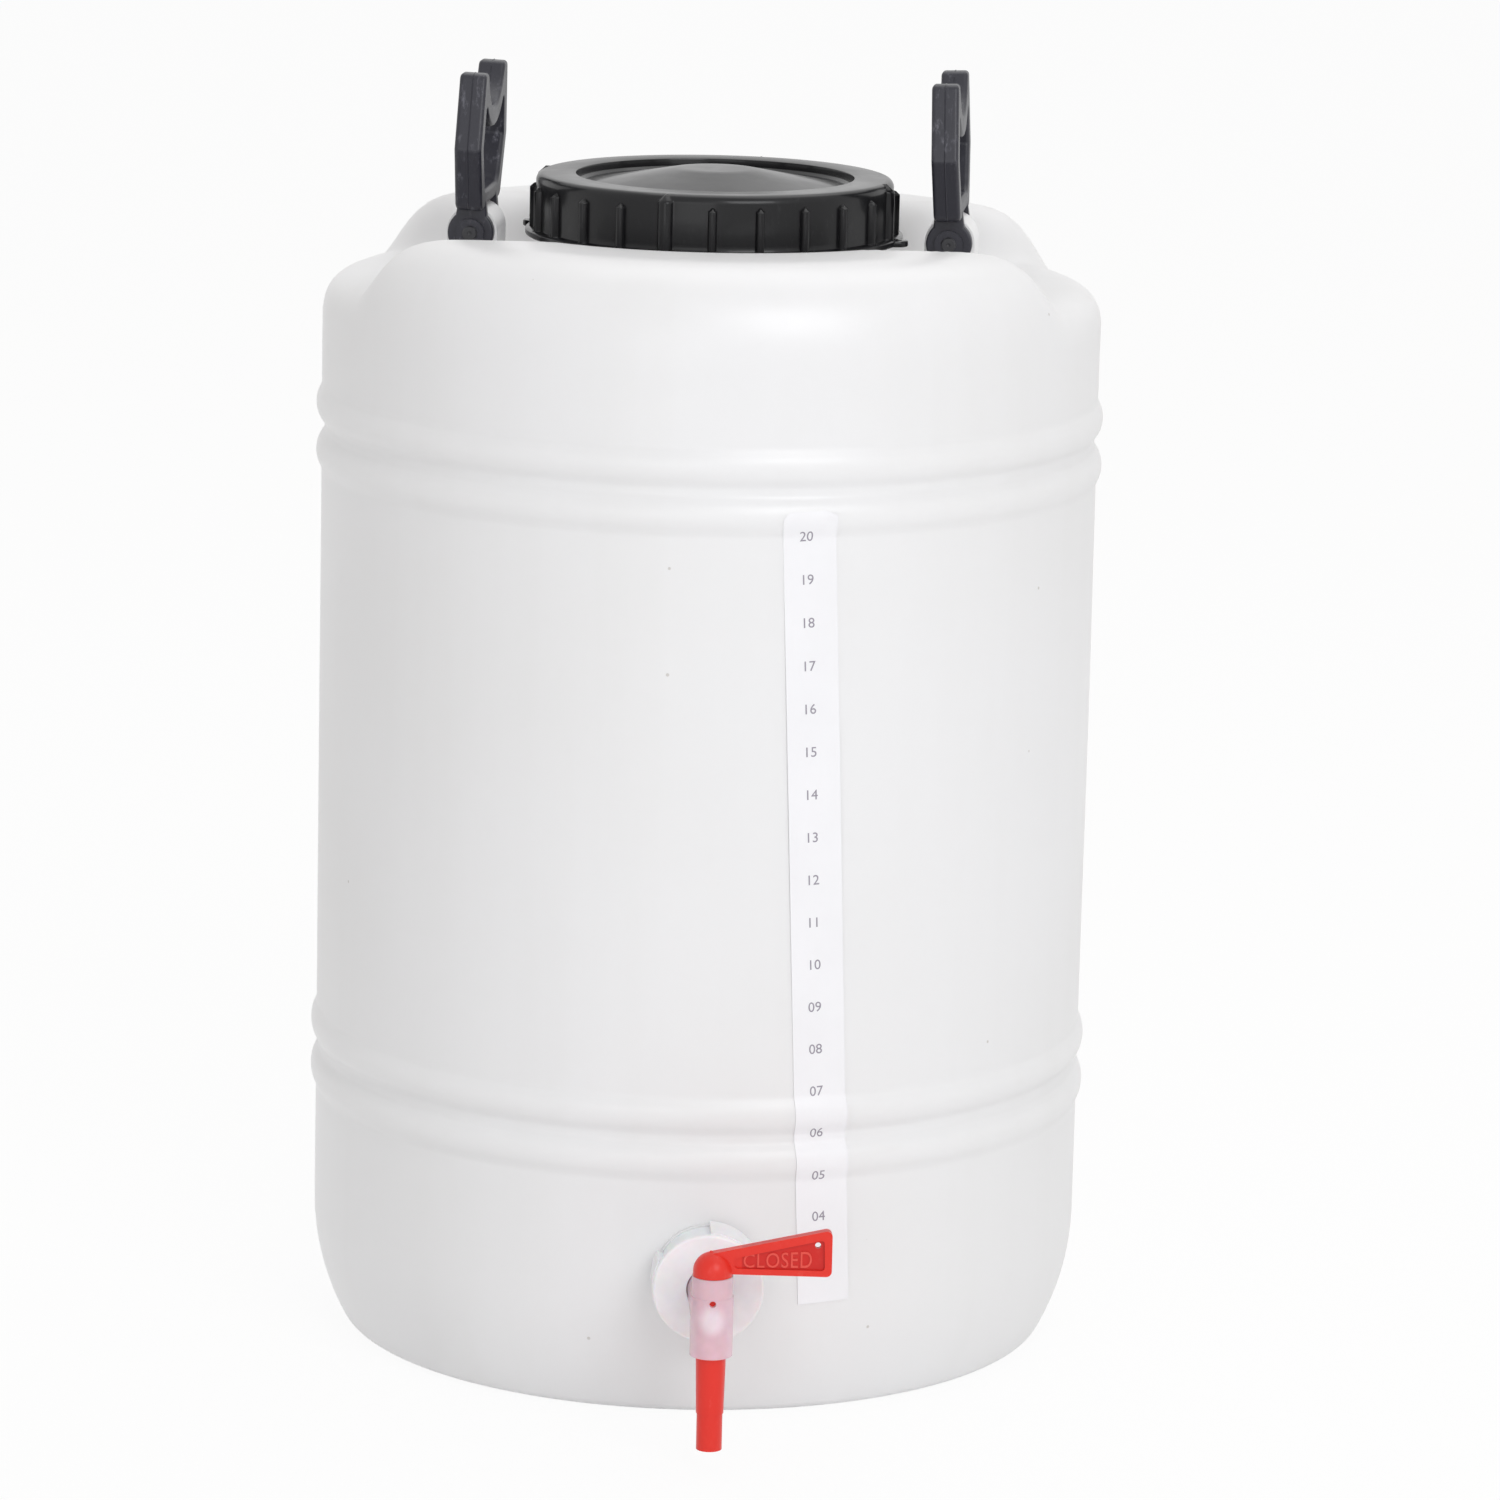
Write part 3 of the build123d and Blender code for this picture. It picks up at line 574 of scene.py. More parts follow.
class GeometryTree:
    """A Geometry Nodes tree under construction, with named inputs."""

    def __init__(self, name: str) -> None:
        """Starts a tree whose only output is its geometry."""
        self.group = bpy.data.node_groups.new(name, "GeometryNodeTree")
        self.group.interface.new_socket("Geometry", in_out="OUTPUT", socket_type="NodeSocketGeometry")
        self.inputs: dict[str, object] = {}
        self.entry = self.group.nodes.new("NodeGroupInput")
        self.exit = self.group.nodes.new("NodeGroupOutput")

    def size(self, name: str, kind: str = "NodeSocketFloat") -> tuple[bpy.types.Node, str]:
        """Adds a named input and returns where to link it from."""
        item = self.group.interface.new_socket(name, in_out="INPUT", socket_type=kind)
        self.inputs[name] = item.identifier
        return self.entry, name

    def add(self, kind: str, values: dict[str, object] | None = None, **settings: object) -> bpy.types.Node:
        """Adds a node, sets its properties, then its inputs, which may be other nodes' outputs."""
        node = self.group.nodes.new(kind)
        for key, value in settings.items():
            setattr(node, key, value)
        for key, value in (values or {}).items():
            target = node.inputs[key]
            if isinstance(value, tuple) and value and isinstance(value[0], bpy.types.Node):
                self.group.links.new(value[0].outputs[value[1]], target)
            elif isinstance(value, bpy.types.NodeSocket):
                self.group.links.new(value, target)
            else:
                target.default_value = value
        return node

    def close(self, geometry: bpy.types.NodeSocket) -> None:
        """Ends the tree in Realize Instances and Set Material."""
        self.size("Material", "NodeSocketMaterial")
        real = self.add("GeometryNodeRealizeInstances", {"Geometry": geometry})
        dressed = self.add("GeometryNodeSetMaterial", {"Geometry": real.outputs[0]})
        self.group.links.new(self.entry.outputs["Material"], dressed.inputs["Material"])
        self.group.links.new(dressed.outputs[0], self.exit.inputs[0])

    def run(
        self, name: str, source: bpy.types.Object | None, values: dict[str, object]
    ) -> bpy.types.Object:
        """Runs the tree with those input values and returns the result as a plain mesh piece."""
        holder = source or bpy.data.objects.new(name, bpy.data.meshes.new(name))
        if source is None:
            bpy.context.scene.collection.objects.link(holder)
        step = holder.modifiers.new("nodes", "NODES")
        step.node_group = self.group
        for key, value in values.items():
            step[self.inputs[key]] = value
        graph = bpy.context.evaluated_depsgraph_get()
        mesh = bpy.data.meshes.new_from_object(holder.evaluated_get(graph))
        bpy.data.objects.remove(holder)
        return new_piece(name, outward(mesh))


class ScrewThread:
    """A tapered-end helical ridge, swept along a spiral by Geometry Nodes."""

    def __init__(self) -> None:
        """Builds the tree once, for every thread on the carboy."""
        tree = GeometryTree("screw_thread")
        radius = tree.size("Radius")
        turns = tree.size("Turns")
        height = tree.size("Height")
        proud = tree.size("Proud")
        width = tree.size("Width")
        steps = tree.size("Steps per turn", "NodeSocketInt")
        spiral = tree.add("GeometryNodeCurveSpiral", {
            "Resolution": steps,
            "Rotations": turns,
            "Start Radius": radius,
            "End Radius": radius,
            "Height": height,
        })
        upright = tree.add("GeometryNodeSetCurveNormal", {"Curve": spiral.outputs[0]}, mode="Z_UP")
        along = tree.add("GeometryNodeSplineParameter").outputs["Factor"]
        from_end = tree.add("ShaderNodeMath", {0: 1.0, 1: along}, operation="SUBTRACT").outputs[0]
        nearer = tree.add("ShaderNodeMath", {0: along, 1: from_end}, operation="MINIMUM").outputs[0]
        taper = {"Value": nearer, "From Max": 0.06, "To Min": 0.12}
        run_in = tree.add("ShaderNodeMapRange", taper).outputs[0]
        tapered = tree.add("GeometryNodeSetCurveRadius", {"Curve": upright.outputs[0], "Radius": run_in})
        ridge = tree.add("GeometryNodeCurvePrimitiveCircle", {"Resolution": 10, "Radius": 0.5})
        shape = tree.add("ShaderNodeCombineXYZ", {"X": width, "Y": proud, "Z": 1.0})
        squashed = {"Geometry": ridge.outputs[0], "Scale": shape.outputs[0]}
        section = tree.add("GeometryNodeTransform", squashed)
        swept = tree.add("GeometryNodeCurveToMesh", {
            "Curve": tapered.outputs[0],
            "Profile Curve": section.outputs[0],
            "Fill Caps": True,
        })
        tree.close(swept.outputs[0])
        self.tree = tree

    def make(self, name: str, material: bpy.types.Material, **sizes: float) -> bpy.types.Object:
        """Returns a thread piece; sizes are radius, turns, pitch, proud and width, in millimetres."""
        values = {
            "Radius": sizes["radius"] * MM,
            "Turns": sizes["turns"],
            "Height": sizes["pitch"] * sizes["turns"] * MM,
            "Proud": 2 * sizes["proud"] * MM,
            "Width": sizes["width"] * MM,
            "Steps per turn": 96,
            "Material": material,
        }
        return self.tree.run(name, None, values)


def place(piece: bpy.types.Object, matrix: Matrix) -> bpy.types.Object:
    """Moves a piece's mesh, so its object stays at the origin."""
    piece.data.transform(matrix)
    piece.data.update()
    return piece


# ---- the drum -----------------------------------------------------------------------------


@dataclass
class Tank:
    """Blow-moulded drum in one piece: hollow body, ribs, lobed shoulder, neck and handle lugs."""

    wall: float = 2.2
    body_r: float = 145.0
    foot_arc_r: float = 90.0
    foot_arc_top: float = 46.0
    foot_corner_r: float = 6.5
    foot_in_r: float = 112.0
    push_up: float = 9.0
    push_up_r: float = 98.0
    rib_pairs: tuple[float, float] = (106.2, 342.4)
    rib_pitch: float = 18.0
    rib_width: float = 11.6
    rib_proud: float = 2.0
    rib_valley: float = 1.0
    rib_soft: float = 1.2
    shoulder_z: float = 383.0
    seam_z: float = 386.5
    crown_z: float = 421.0
    crown_flat_r: float = 113.0
    channel_z: float = 400.0
    channel_flat_r: float = 127.0
    corner_power: float = 2.8
    channel_half: float = 44.0
    flank: float = 31.0
    flare_start: float = 99.0
    flare_run: float = 30.0
    flare: float = 13.3
    valley_z: float = 408.0
    valley_r: float = 76.0
    valley_flank: float = 18.0
    neck_r: float = 60.5
    neck_bore_r: float = 56.5
    neck_top: float = 431.0
    lug_x: float = 88.5
    lug_z: float = 416.2
    lug_skew: float = 4.7
    lug_sink: float = 0.3
    lug_r: float = 9.3
    lug_half: float = 12.3
    lug_foot_r: float = 3.0
    neck_fillet: tuple[tuple[float, float], ...] = ((0.25, 1.0), (0.8, 0.4), (1.9, 0.0))
    waviness: float = 0.12
    seam_proud: float = 0.12
    seam_half: float = 0.9
    columns: int = 256

    def wall_r(self, z: np.ndarray, inset: float = 0.0, soft: float = 0.5) -> np.ndarray:
        """Radius of the wall and its ribs at those heights."""
        radius = np.full_like(z, self.body_r - inset)
        chord = self.rib_width / 2
        arc_r = (chord ** 2 + self.rib_proud ** 2) / (2 * self.rib_proud)
        for pair in self.rib_pairs:
            sunk = np.abs(z - pair) < self.rib_pitch / 2
            radius = np.where(sunk, self.body_r - inset - self.rib_valley, radius)
            for middle in (pair - self.rib_pitch / 2, pair + self.rib_pitch / 2):
                under = np.clip(arc_r ** 2 - (z - middle) ** 2, 0, None)
                rib = self.body_r - inset + self.rib_proud - arc_r + np.sqrt(under)
                rib = np.where(np.abs(z - middle) < arc_r, rib, 0)
                radius = smooth_max(radius, rib, soft)
        return radius

    def foot_outline(self, inset: float) -> Outline:
        """The underside, the foot ring and the long arc up to the plain wall."""
        centre_x = self.body_r - self.foot_arc_r
        reach = self.foot_arc_r - self.foot_corner_r
        drop = self.foot_arc_top - self.foot_corner_r
        corner_x = centre_x + math.sqrt(reach ** 2 - drop ** 2)
        lean = math.degrees(math.atan2(-drop, corner_x - centre_x))
        under = rounded([
            (0, self.push_up + inset, 0),
            (self.push_up_r, self.push_up + inset, 12.0),
            (self.foot_in_r, inset, 6.0),
            (corner_x, inset, 0),
        ])
        corner = arc((corner_x, self.foot_corner_r), self.foot_corner_r - inset, -90, lean, 8)
        side = arc((centre_x, self.foot_arc_top), self.foot_arc_r - inset, lean, 0, 18)
        return under + corner[1:] + side[1:]

    def wall_heights(self, fine: float, coarse: float) -> np.ndarray:
        """Heights up the wall, close together at the ribs and at the seam."""
        marks = [self.foot_arc_top + coarse]
        reach = self.rib_pitch / 2 + self.rib_width / 2 + 2.0
        while marks[-1] < self.shoulder_z - coarse:
            near = any(abs(marks[-1] - pair) < reach for pair in self.rib_pairs)
            gap = min((abs(marks[-1] - pair) - reach for pair in self.rib_pairs), default=coarse)
            marks.append(marks[-1] + (fine if near else max(fine, min(coarse, abs(gap) + 0.01))))
        marks.append(self.shoulder_z)
        return np.array(marks)

    def rounding(self, share: float) -> float:
        """Height left, 1 to 0, after a share 0 to 1 of the way out over the shoulder's rounding."""
        return (1 - min(1.0, max(0.0, share)) ** self.corner_power) ** (1 / self.corner_power)

    def shoulder_rows(self, turns: np.ndarray, inset: float, radii: Iterable[float]) -> list[np.ndarray]:
        """Rows of points over the shoulder at those radii.

        The profile over a channel and the one over a lobe are mixed by how far a point lies from the
        channel's middle line.
        """
        rows = []
        rim = self.body_r - inset
        for r in radii:
            rise = float(smooth_step(r, self.valley_r, self.valley_r + self.valley_flank))
            z_lobe = self.rounding((r - self.crown_flat_r) / (rim - self.crown_flat_r))
            z_lobe = z_lobe * (self.crown_z - inset - self.shoulder_z)
            z_lobe -= (self.crown_z - self.valley_z) * (1 - rise)
            z_channel = self.rounding((r - self.channel_flat_r) / (rim - self.channel_flat_r))
            z_channel *= self.channel_z - inset - self.shoulder_z
            past = np.clip(np.abs(r * np.cos(turns)) - self.flare_start, 0, None)
            aside = np.abs(r * np.sin(turns)) - self.flare * (past / self.flare_run) ** 2
            share = smooth_step(aside, self.channel_half, self.channel_half + self.flank)
            z = self.shoulder_z + z_channel + (z_lobe - z_channel) * share
            rows.append(np.stack([r * np.cos(turns), r * np.sin(turns), z], axis=-1))
        return rows

    def shoulder_radii(self, inset: float, start_r: float, flat: int, bend: int) -> list[float]:
        """Radii from the neck out to the wall, closer together where the shoulder rounds over."""
        radii = list(np.linspace(start_r, self.crown_flat_r, flat + 1))
        width = self.body_r - inset - self.crown_flat_r
        for step in range(1, bend + 1):
            angle = math.radians(90 * step / bend)
            ends = math.sin(angle) ** self.corner_power + math.cos(angle) ** self.corner_power
            radii.append(self.crown_flat_r + width * math.sin(angle) / ends ** (1 / self.corner_power))
        return radii

    def ring_row(self, turns: np.ndarray, r: float, z: float) -> np.ndarray:
        """One plain row of points round the axis."""
        return np.stack([r * np.cos(turns), r * np.sin(turns), z + 0 * turns], axis=-1)

    def shell(self) -> bpy.types.Mesh:
        """The drum's outer and inner skins as one closed mesh."""
        turns = np.linspace(0, 2 * math.pi, self.columns, endpoint=False)
        rows = [self.ring_row(turns, r, z) for r, z in self.foot_outline(0.0)]
        heights = self.wall_heights(fine=0.75, coarse=9.0)
        outer = self.wall_r(heights, soft=self.rib_soft)
        rows += [self.ring_row(turns, r, z) for r, z in zip(outer, heights)]
        radii = self.shoulder_radii(0.0, self.neck_r + 2.0, flat=20, bend=22)
        rows += self.shoulder_rows(turns, 0.0, radii)[::-1][1:]
        base = rows[-1]
        for lift, out in self.neck_fillet:
            row = self.ring_row(turns, self.neck_r + out, 0)
            row[:, 2] = base[:, 2] + lift
            rows.append(row)
        outside = ((0.0, 0.8), (0.25, 0.2), (0.8, 0.0))
        inside = ((0.6, 0.0), (0.15, 0.2), (0.0, 0.6))
        rows += [self.ring_row(turns, self.neck_r - cut, self.neck_top - down) for cut, down in outside]
        rows += [self.ring_row(turns, self.neck_bore_r + cut, self.neck_top - down) for cut, down in inside]
        radii = self.shoulder_radii(self.wall, self.neck_bore_r, flat=12, bend=10)
        rows += self.shoulder_rows(turns, self.wall, radii)
        heights = self.wall_heights(fine=1.5, coarse=14.0)
        inner = self.wall_r(heights, self.wall)
        rows += [self.ring_row(turns, r, z) for r, z in zip(inner, heights)][::-1][1:]
        rows += [self.ring_row(turns, r, z) for r, z in self.foot_outline(self.wall)][::-1]
        points = np.concatenate(rows)
        points = self.uneven(points)
        return outward(mesh_of(points, grid_faces(len(rows), self.columns)))

    def uneven(self, points: np.ndarray) -> np.ndarray:
        """Adds the slight waviness and the mould seam of a blown wall to points on it."""
        x, y, z = points.T
        r = np.hypot(x, y)
        turn = np.arctan2(y, x)
        inside_wall = smooth_step(r, 120, 138) * smooth_step(z, 30, 60) * (1 - smooth_step(z, 372, 392))
        ripple = np.sin(3 * turn + z * 0.011) + 0.6 * np.sin(5 * turn - z * 0.023 + 1.3)
        ripple += 0.5 * np.sin(z * 0.031 + 2 * turn + 0.4)
        push = self.waviness * ripple * inside_wall
        seam = np.exp(-((z - self.seam_z) / self.seam_half) ** 2) * smooth_step(r, 135, 142)
        push += self.seam_proud * seam
        scale = 1 + push / np.maximum(r, 1)
        return np.stack([x * scale, y * scale, z], axis=-1)

    def lug(self, x: float) -> bpy.types.Mesh:
        """One handle lug, with its flared foot sunk into the channel's floor."""
        foot = self.channel_z - self.wall * 0.5
        flare = self.channel_z - self.lug_sink + self.lug_foot_r
        wide = self.lug_r + self.lug_foot_r
        outline = arc((0, self.lug_z), self.lug_r, 0, 180, 24)
        outline += arc((-wide, flare), self.lug_foot_r, 0, -90, 5)
        outline += [(-wide, foot), (wide, foot)]
        outline += arc((wide, flare), self.lug_foot_r, -90, -180, 5)
        skew = Matrix.Rotation(math.radians(-self.lug_skew), 4, "Z")
        stand = Matrix.Translation((x, 0, 0)) @ skew @ Matrix.Rotation(math.radians(90), 4, "X")
        return extruded(outline, 2 * self.lug_half, stand)

    def build(self, finishes: Finishes, tap: "Tap") -> list[bpy.types.Object]:
        """Makes the drum, dresses it and seats it on its body."""
        drum = new_piece("tank_shell", self.shell(), None)
        for side in (-1, 1):
            combine(drum, self.lug(side * self.lug_x), "UNION")
        combine(drum, tap.wall_hole(), "DIFFERENCE")
        drum.data.shade_smooth()
        drum.data.set_sharp_from_angle(angle=math.radians(38))
        finishes.dress(drum, Look.TANK)
        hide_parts("tank")
        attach(drum, "tank")
        return [drum]


# ---- the litre strip ----------------------------------------------------------------------


@dataclass
class LevelStrip:
    """White film strip with a two-figure number at each litre mark."""

    tank: Tank
    width: float = 19.5
    thick: float = 0.25
    top: float = 336.2
    foot: float = 44.1
    azimuth: float = 17.9
    lean: float = 2.5
    cut: float = 2.3
    dog_ear: tuple[float, float] = (4.2, 1.8)
    first_litre: int = 4
    last_litre: int = 20
    litre_zero: float = 14.2
    litre_pitch: float = 15.63
    figure_height: float = 3.6
    figure_shift: float = -1.35
    print_thick: float = 0.06
    band: float = 0.4
    soft: float = 1.6
    curl_lift: float = 0.9
    film_columns: int = 25
    film_rows: int = 480

    def on_wall(self, u: np.ndarray, v: np.ndarray, lift: np.ndarray | float) -> np.ndarray:
        """Places strip points: u across, v along from its middle, lift off the wall."""
        lean = math.radians(self.lean)
        across = u * math.cos(lean) - v * math.sin(lean)
        up = (self.top + self.foot) / 2 + u * math.sin(lean) + v * math.cos(lean)
        plain = np.stack([self.tank.wall_r(up, soft=self.soft), 0 * up, up], axis=-1)
        r = self.tank.uneven(plain)[:, 0] + lift
        turn = math.radians(self.azimuth - 90) + across / self.tank.body_r
        return np.stack([r * np.cos(turn), r * np.sin(turn), up], axis=-1)

    def ends(self, u: np.ndarray) -> np.ndarray:
        """How far up the strip reaches at each place across it, with its corners gone."""
        half = self.width / 2
        length = (self.top - self.foot) / 2
        left = np.clip(self.cut - (u + half), 0, None)
        ear_w, ear_h = self.dog_ear
        right = np.clip(u - (half - ear_w), 0, None) * ear_h / ear_w
        return length - left - right

    def curl(self, u: np.ndarray, v: np.ndarray) -> np.ndarray:
        """How far the lifted corner stands off the wall."""
        half = self.width / 2
        length = (self.top - self.foot) / 2
        corner = smooth_step(u, half - 6.0, half) * smooth_step(v, length - 5.0, length - 1.0)
        return self.curl_lift * corner

    def film(self) -> bpy.types.Mesh:
        """The strip itself: a thin closed sheet on the wall."""
        across = np.linspace(-self.width / 2, self.width / 2, self.film_columns)
        rows = self.film_rows
        u, s = np.meshgrid(across, np.linspace(0, 1, rows))
        u, s = u.ravel(), s.ravel()
        low = -(self.top - self.foot) / 2
        v = low + (self.ends(u) - low) * s
        lift = self.curl(u, v)
        front = self.on_wall(u, v, self.thick + lift)
        back = self.on_wall(u, v, 0.02 + lift)
        count = len(across)
        faces = []
        total = rows * count
        for row in range(rows - 1):
            for column in range(count - 1):
                a = row * count + column
                faces.append((a, a + 1, a + 1 + count, a + count))
                faces.append((a + total, a + count + total, a + 1 + count + total, a + 1 + total))
        rim = [*range(count), *range(2 * count - 1, total, count)]
        rim += [*range(total - 2, total - count - 1, -1), *range(total - 2 * count, 0, -count)]
        for here, there in zip(rim, rim[1:] + rim[:1]):
            faces.append((here, here + total, there + total, there))
        return outward(mesh_of(np.concatenate([front, back]), faces))

    def figures(self) -> bpy.types.Mesh:
        """All the litre numbers, wrapped on to the film."""
        verts: list[np.ndarray] = []
        faces: list[list[int]] = []
        low = (self.top + self.foot) / 2
        for litre in range(self.first_litre, self.last_litre + 1):
            shape = banded(text_mesh(f"{litre:02d}", self.figure_height, 2 * self.print_thick), self.band)
            v0 = (self.litre_zero + self.litre_pitch * litre - low) / math.cos(math.radians(self.lean))
            points = np.array([tuple(v.co) for v in shape.vertices])
            base = sum(len(block) for block in verts)
            lift = self.thick + np.where(points[:, 2] > 0, self.print_thick, -0.05)
            verts.append(self.on_wall(points[:, 0] + self.figure_shift, points[:, 1] + v0, lift))
            faces += [[base + i for i in face.vertices] for face in shape.polygons]
            bpy.data.meshes.remove(shape)
        return outward(mesh_of(np.concatenate(verts), faces))

    def build(self, finishes: Finishes) -> list[bpy.types.Object]:
        """Makes the strip and its numbers and seats them on the drum."""
        film = new_piece("strip_film", self.film(), 30.0)
        finishes.dress(film, Look.STRIP)
        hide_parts("level_strip")
        figures = new_piece("strip_figures", self.figures(), None)
        finishes.dress(figures, Look.INK)
        for piece in (film, figures):
            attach(piece, "tank")
        return [film, figures]


def text_mesh(words: str, height: float, thick: float, spacing: float = 1.0) -> bpy.types.Mesh:
    """Plain lettering as a closed mesh, centred on the origin, with capitals of that height."""
    curve = bpy.data.curves.new("words", "FONT")
    curve.body = words
    curve.align_x = "CENTER"
    curve.align_y = "CENTER"
    curve.size = height / CAPITAL_SHARE
    curve.extrude = thick / 2
    curve.space_character = spacing
    curve.resolution_u = 4
    holder = bpy.data.objects.new("words", curve)
    bpy.context.scene.collection.objects.link(holder)
    graph = bpy.context.evaluated_depsgraph_get()
    mesh = bpy.data.meshes.new_from_object(holder.evaluated_get(graph))
    bpy.data.objects.remove(holder)
    bpy.data.curves.remove(curve)
    return outward(mesh)


def banded(mesh: bpy.types.Mesh, step: float) -> bpy.types.Mesh:
    """Cuts a mesh into low bands across Y, so that it can follow a bent surface."""
    work = bmesh.new()
    work.from_mesh(mesh)
    reach = max(abs(vert.co.y) for vert in work.verts)
    for level in np.arange(-reach + step, reach, step):
        parts = [*work.verts, *work.edges, *work.faces]
        bmesh.ops.bisect_plane(work, geom=parts, plane_co=(0, level, 0), plane_no=(0, 1, 0))
    work.to_mesh(mesh)
    work.free()
    return mesh


# ---- the closure --------------------------------------------------------------------------


@dataclass
class Closure:
    """Screw ring with pointed ribs and sealing ears, the dished inner lid and the threads."""

    tank: Tank
    turn: float = -14.5
    top: float = 438.0
    foot: float = 415.2
    ring_r: float = 66.5
    ring_in_r: float = 63.9
    hole_r: float = 51.7
    edge_r: float = 3.0
    flange_r: float = 70.3
    flange_thick: float = 2.2
    rib_count: int = 24
    rib_reach: float = 68.8
    small_width: float = 3.3
    small_top: float = 433.6
    large_width: float = 6.0
    large_top: float = 438.0
    ear_r: float = 74.3
    ear_half: float = 4.2
    ear_hole_r: float = 1.5
    ear_hole_out: float = 0.6
    gasket: float = 2.0
    lid_r: float = 62.0
    lid_thick: float = 2.4
    trough_r: float = 49.0
    trough: float = 1.0
    crown: float = 440.6
    crown_flat_r: float = 14.0
    thread_pitch: float = 7.0
    thread_turns: float = 1.6
    thread_below: float = 3.0
    rib_fillet: float = 0.22
    ear_fillet: float = 0.6
    steps_per_rib: int = 42

    def rib_r(self, aside: np.ndarray, z: float, width: float, top: float) -> np.ndarray:
        """Outer radius of a half-round, pointed rib, at arc distances from its middle."""
        radius = width / 2
        head = radius * 0.9
        here = radius * np.clip((top - z) / head, 0, 1)
        inside = np.clip(here ** 2 - aside ** 2, 0, None)
        return np.where(np.abs(aside) < here, self.rib_reach - radius + np.sqrt(inside), 0)

    def ring_mesh(self) -> bpy.types.Mesh:
        """The screw ring as one closed grid, its ribs and ears raised out of the skirt."""
        columns = self.rib_count * self.steps_per_rib
        turns = np.linspace(0, 2 * math.pi, columns, endpoint=False)
        pitch = 2 * math.pi / self.rib_count
        near = np.round(turns / pitch)
        aside = (turns - near * pitch) * self.ring_r
        large = near.astype(int) % (self.rib_count // 4) == 0
        lip = self.tank.neck_top + self.gasket + self.lid_thick
        flange_top = self.foot + self.flange_thick

        ear_aside = self.ear_r * np.abs(np.sin(turns))
        ear_mid = self.ear_r - self.ear_half
        ear = ear_mid + np.sqrt(np.clip(self.ear_half ** 2 - ear_aside ** 2, 0, None))
        ear = np.where(ear_aside < self.ear_half, ear, 0)
        flange = smooth_max(np.full(columns, self.flange_r), ear, self.ear_fillet)

        rows: list[tuple[np.ndarray | float, float]] = [
            (self.ring_in_r, self.foot), (flange - 0.35, self.foot), (flange, self.foot + 0.3),
            (flange, flange_top - 0.3), (flange - 0.35, flange_top),
        ]
        skirt = [(self.ring_r + 0.7, flange_top), (self.ring_r + 0.2, flange_top + 0.25)]
        heights = np.concatenate([
            np.linspace(flange_top + 0.8, self.small_top - 2.4, 9),
            np.linspace(self.small_top - 2.0, self.top - self.edge_r, 14),
        ])
        skirt += [(self.ring_r, z) for z in heights]
        edge = arc((self.ring_r - self.edge_r, self.top - self.edge_r), self.edge_r, 0, 90, 9)
        skirt += edge[1:]
        for r, z in skirt:
            rib = np.where(
                large,
                self.rib_r(aside, z, self.large_width, self.large_top),
                self.rib_r(aside, z, self.small_width, self.small_top),
            )
            rows.append((smooth_max(np.full(columns, r), rib, self.rib_fillet), z))
        rows += [(self.hole_r + 0.5, self.top), (self.hole_r + 0.12, self.top - 0.15),
                 (self.hole_r, self.top - 0.6), (self.hole_r, lip), (self.ring_in_r, lip)]
        points = []
        for r, z in rows:
            radii = np.full(columns, r) if np.isscalar(r) else r
            points.append(np.stack([radii * np.cos(turns), radii * np.sin(turns), z + 0 * turns], axis=-1))
        return outward(mesh_of(np.concatenate(points), grid_faces(len(rows), columns, True)))

    def lid_outline(self) -> Outline:
        """Section of the inner lid, from the middle of its top round to the middle below."""
        base = self.tank.neck_top + self.gasket
        top = base + self.lid_thick
        low = top - self.trough
        rim = self.tank.neck_bore_r - 0.7
        under = self.crown - self.lid_thick
        return rounded([
            (0, self.crown, 0), (self.crown_flat_r, self.crown, 30.0), (self.trough_r - 2.5, low, 6.0),
            (self.trough_r, low, 0.5), (self.trough_r + 1.5, top, 0.5), (self.lid_r, top, 0.6),
            (self.lid_r, base, 0.3), (rim, base, 0), (rim, base - 6.0, 0.4), (rim - 2.0, base - 6.0, 0.4),
            (rim - 2.0, base, 0), (self.trough_r + 2.0, base, 0.3),
            (self.trough_r, low - self.lid_thick, 0.5), (self.trough_r - 2.5, low - self.lid_thick, 0.5),
            (self.crown_flat_r, under, 8.0), (0, under, 0),
        ])

    def build(self, finishes: Finishes, thread: ScrewThread) -> list[bpy.types.Object]:
        """Makes the ring, the lid and both threads and seats them."""
        ring = new_piece("screw_ring_moulding", self.ring_mesh(), None)
        below, above = self.foot - 1, self.foot + 4
        section = [(0, below), (self.ear_hole_r, below), (self.ear_hole_r, above), (0, above)]
        for side in (-1, 1):
            drill = revolved(section, 24)
            spot = side * (self.ear_r - self.ear_half + self.ear_hole_out) * MM
            drill.transform(Matrix.Translation((spot, 0, 0)))
            combine(ring, drill, "DIFFERENCE")
        place(ring, Matrix.Rotation(math.radians(self.turn), 4, "Z"))
        ring.data.shade_smooth()
        ring.data.set_sharp_from_angle(angle=math.radians(42))
        finishes.dress(ring, Look.LID)
        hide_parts("screw_ring")
        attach(ring, "screw_ring")

        lid = new_piece("inner_lid_moulding", revolved(self.lid_outline(), 192), 35.0)
        finishes.dress(lid, Look.LID)
        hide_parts("inner_lid")
        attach(lid, "inner_lid")

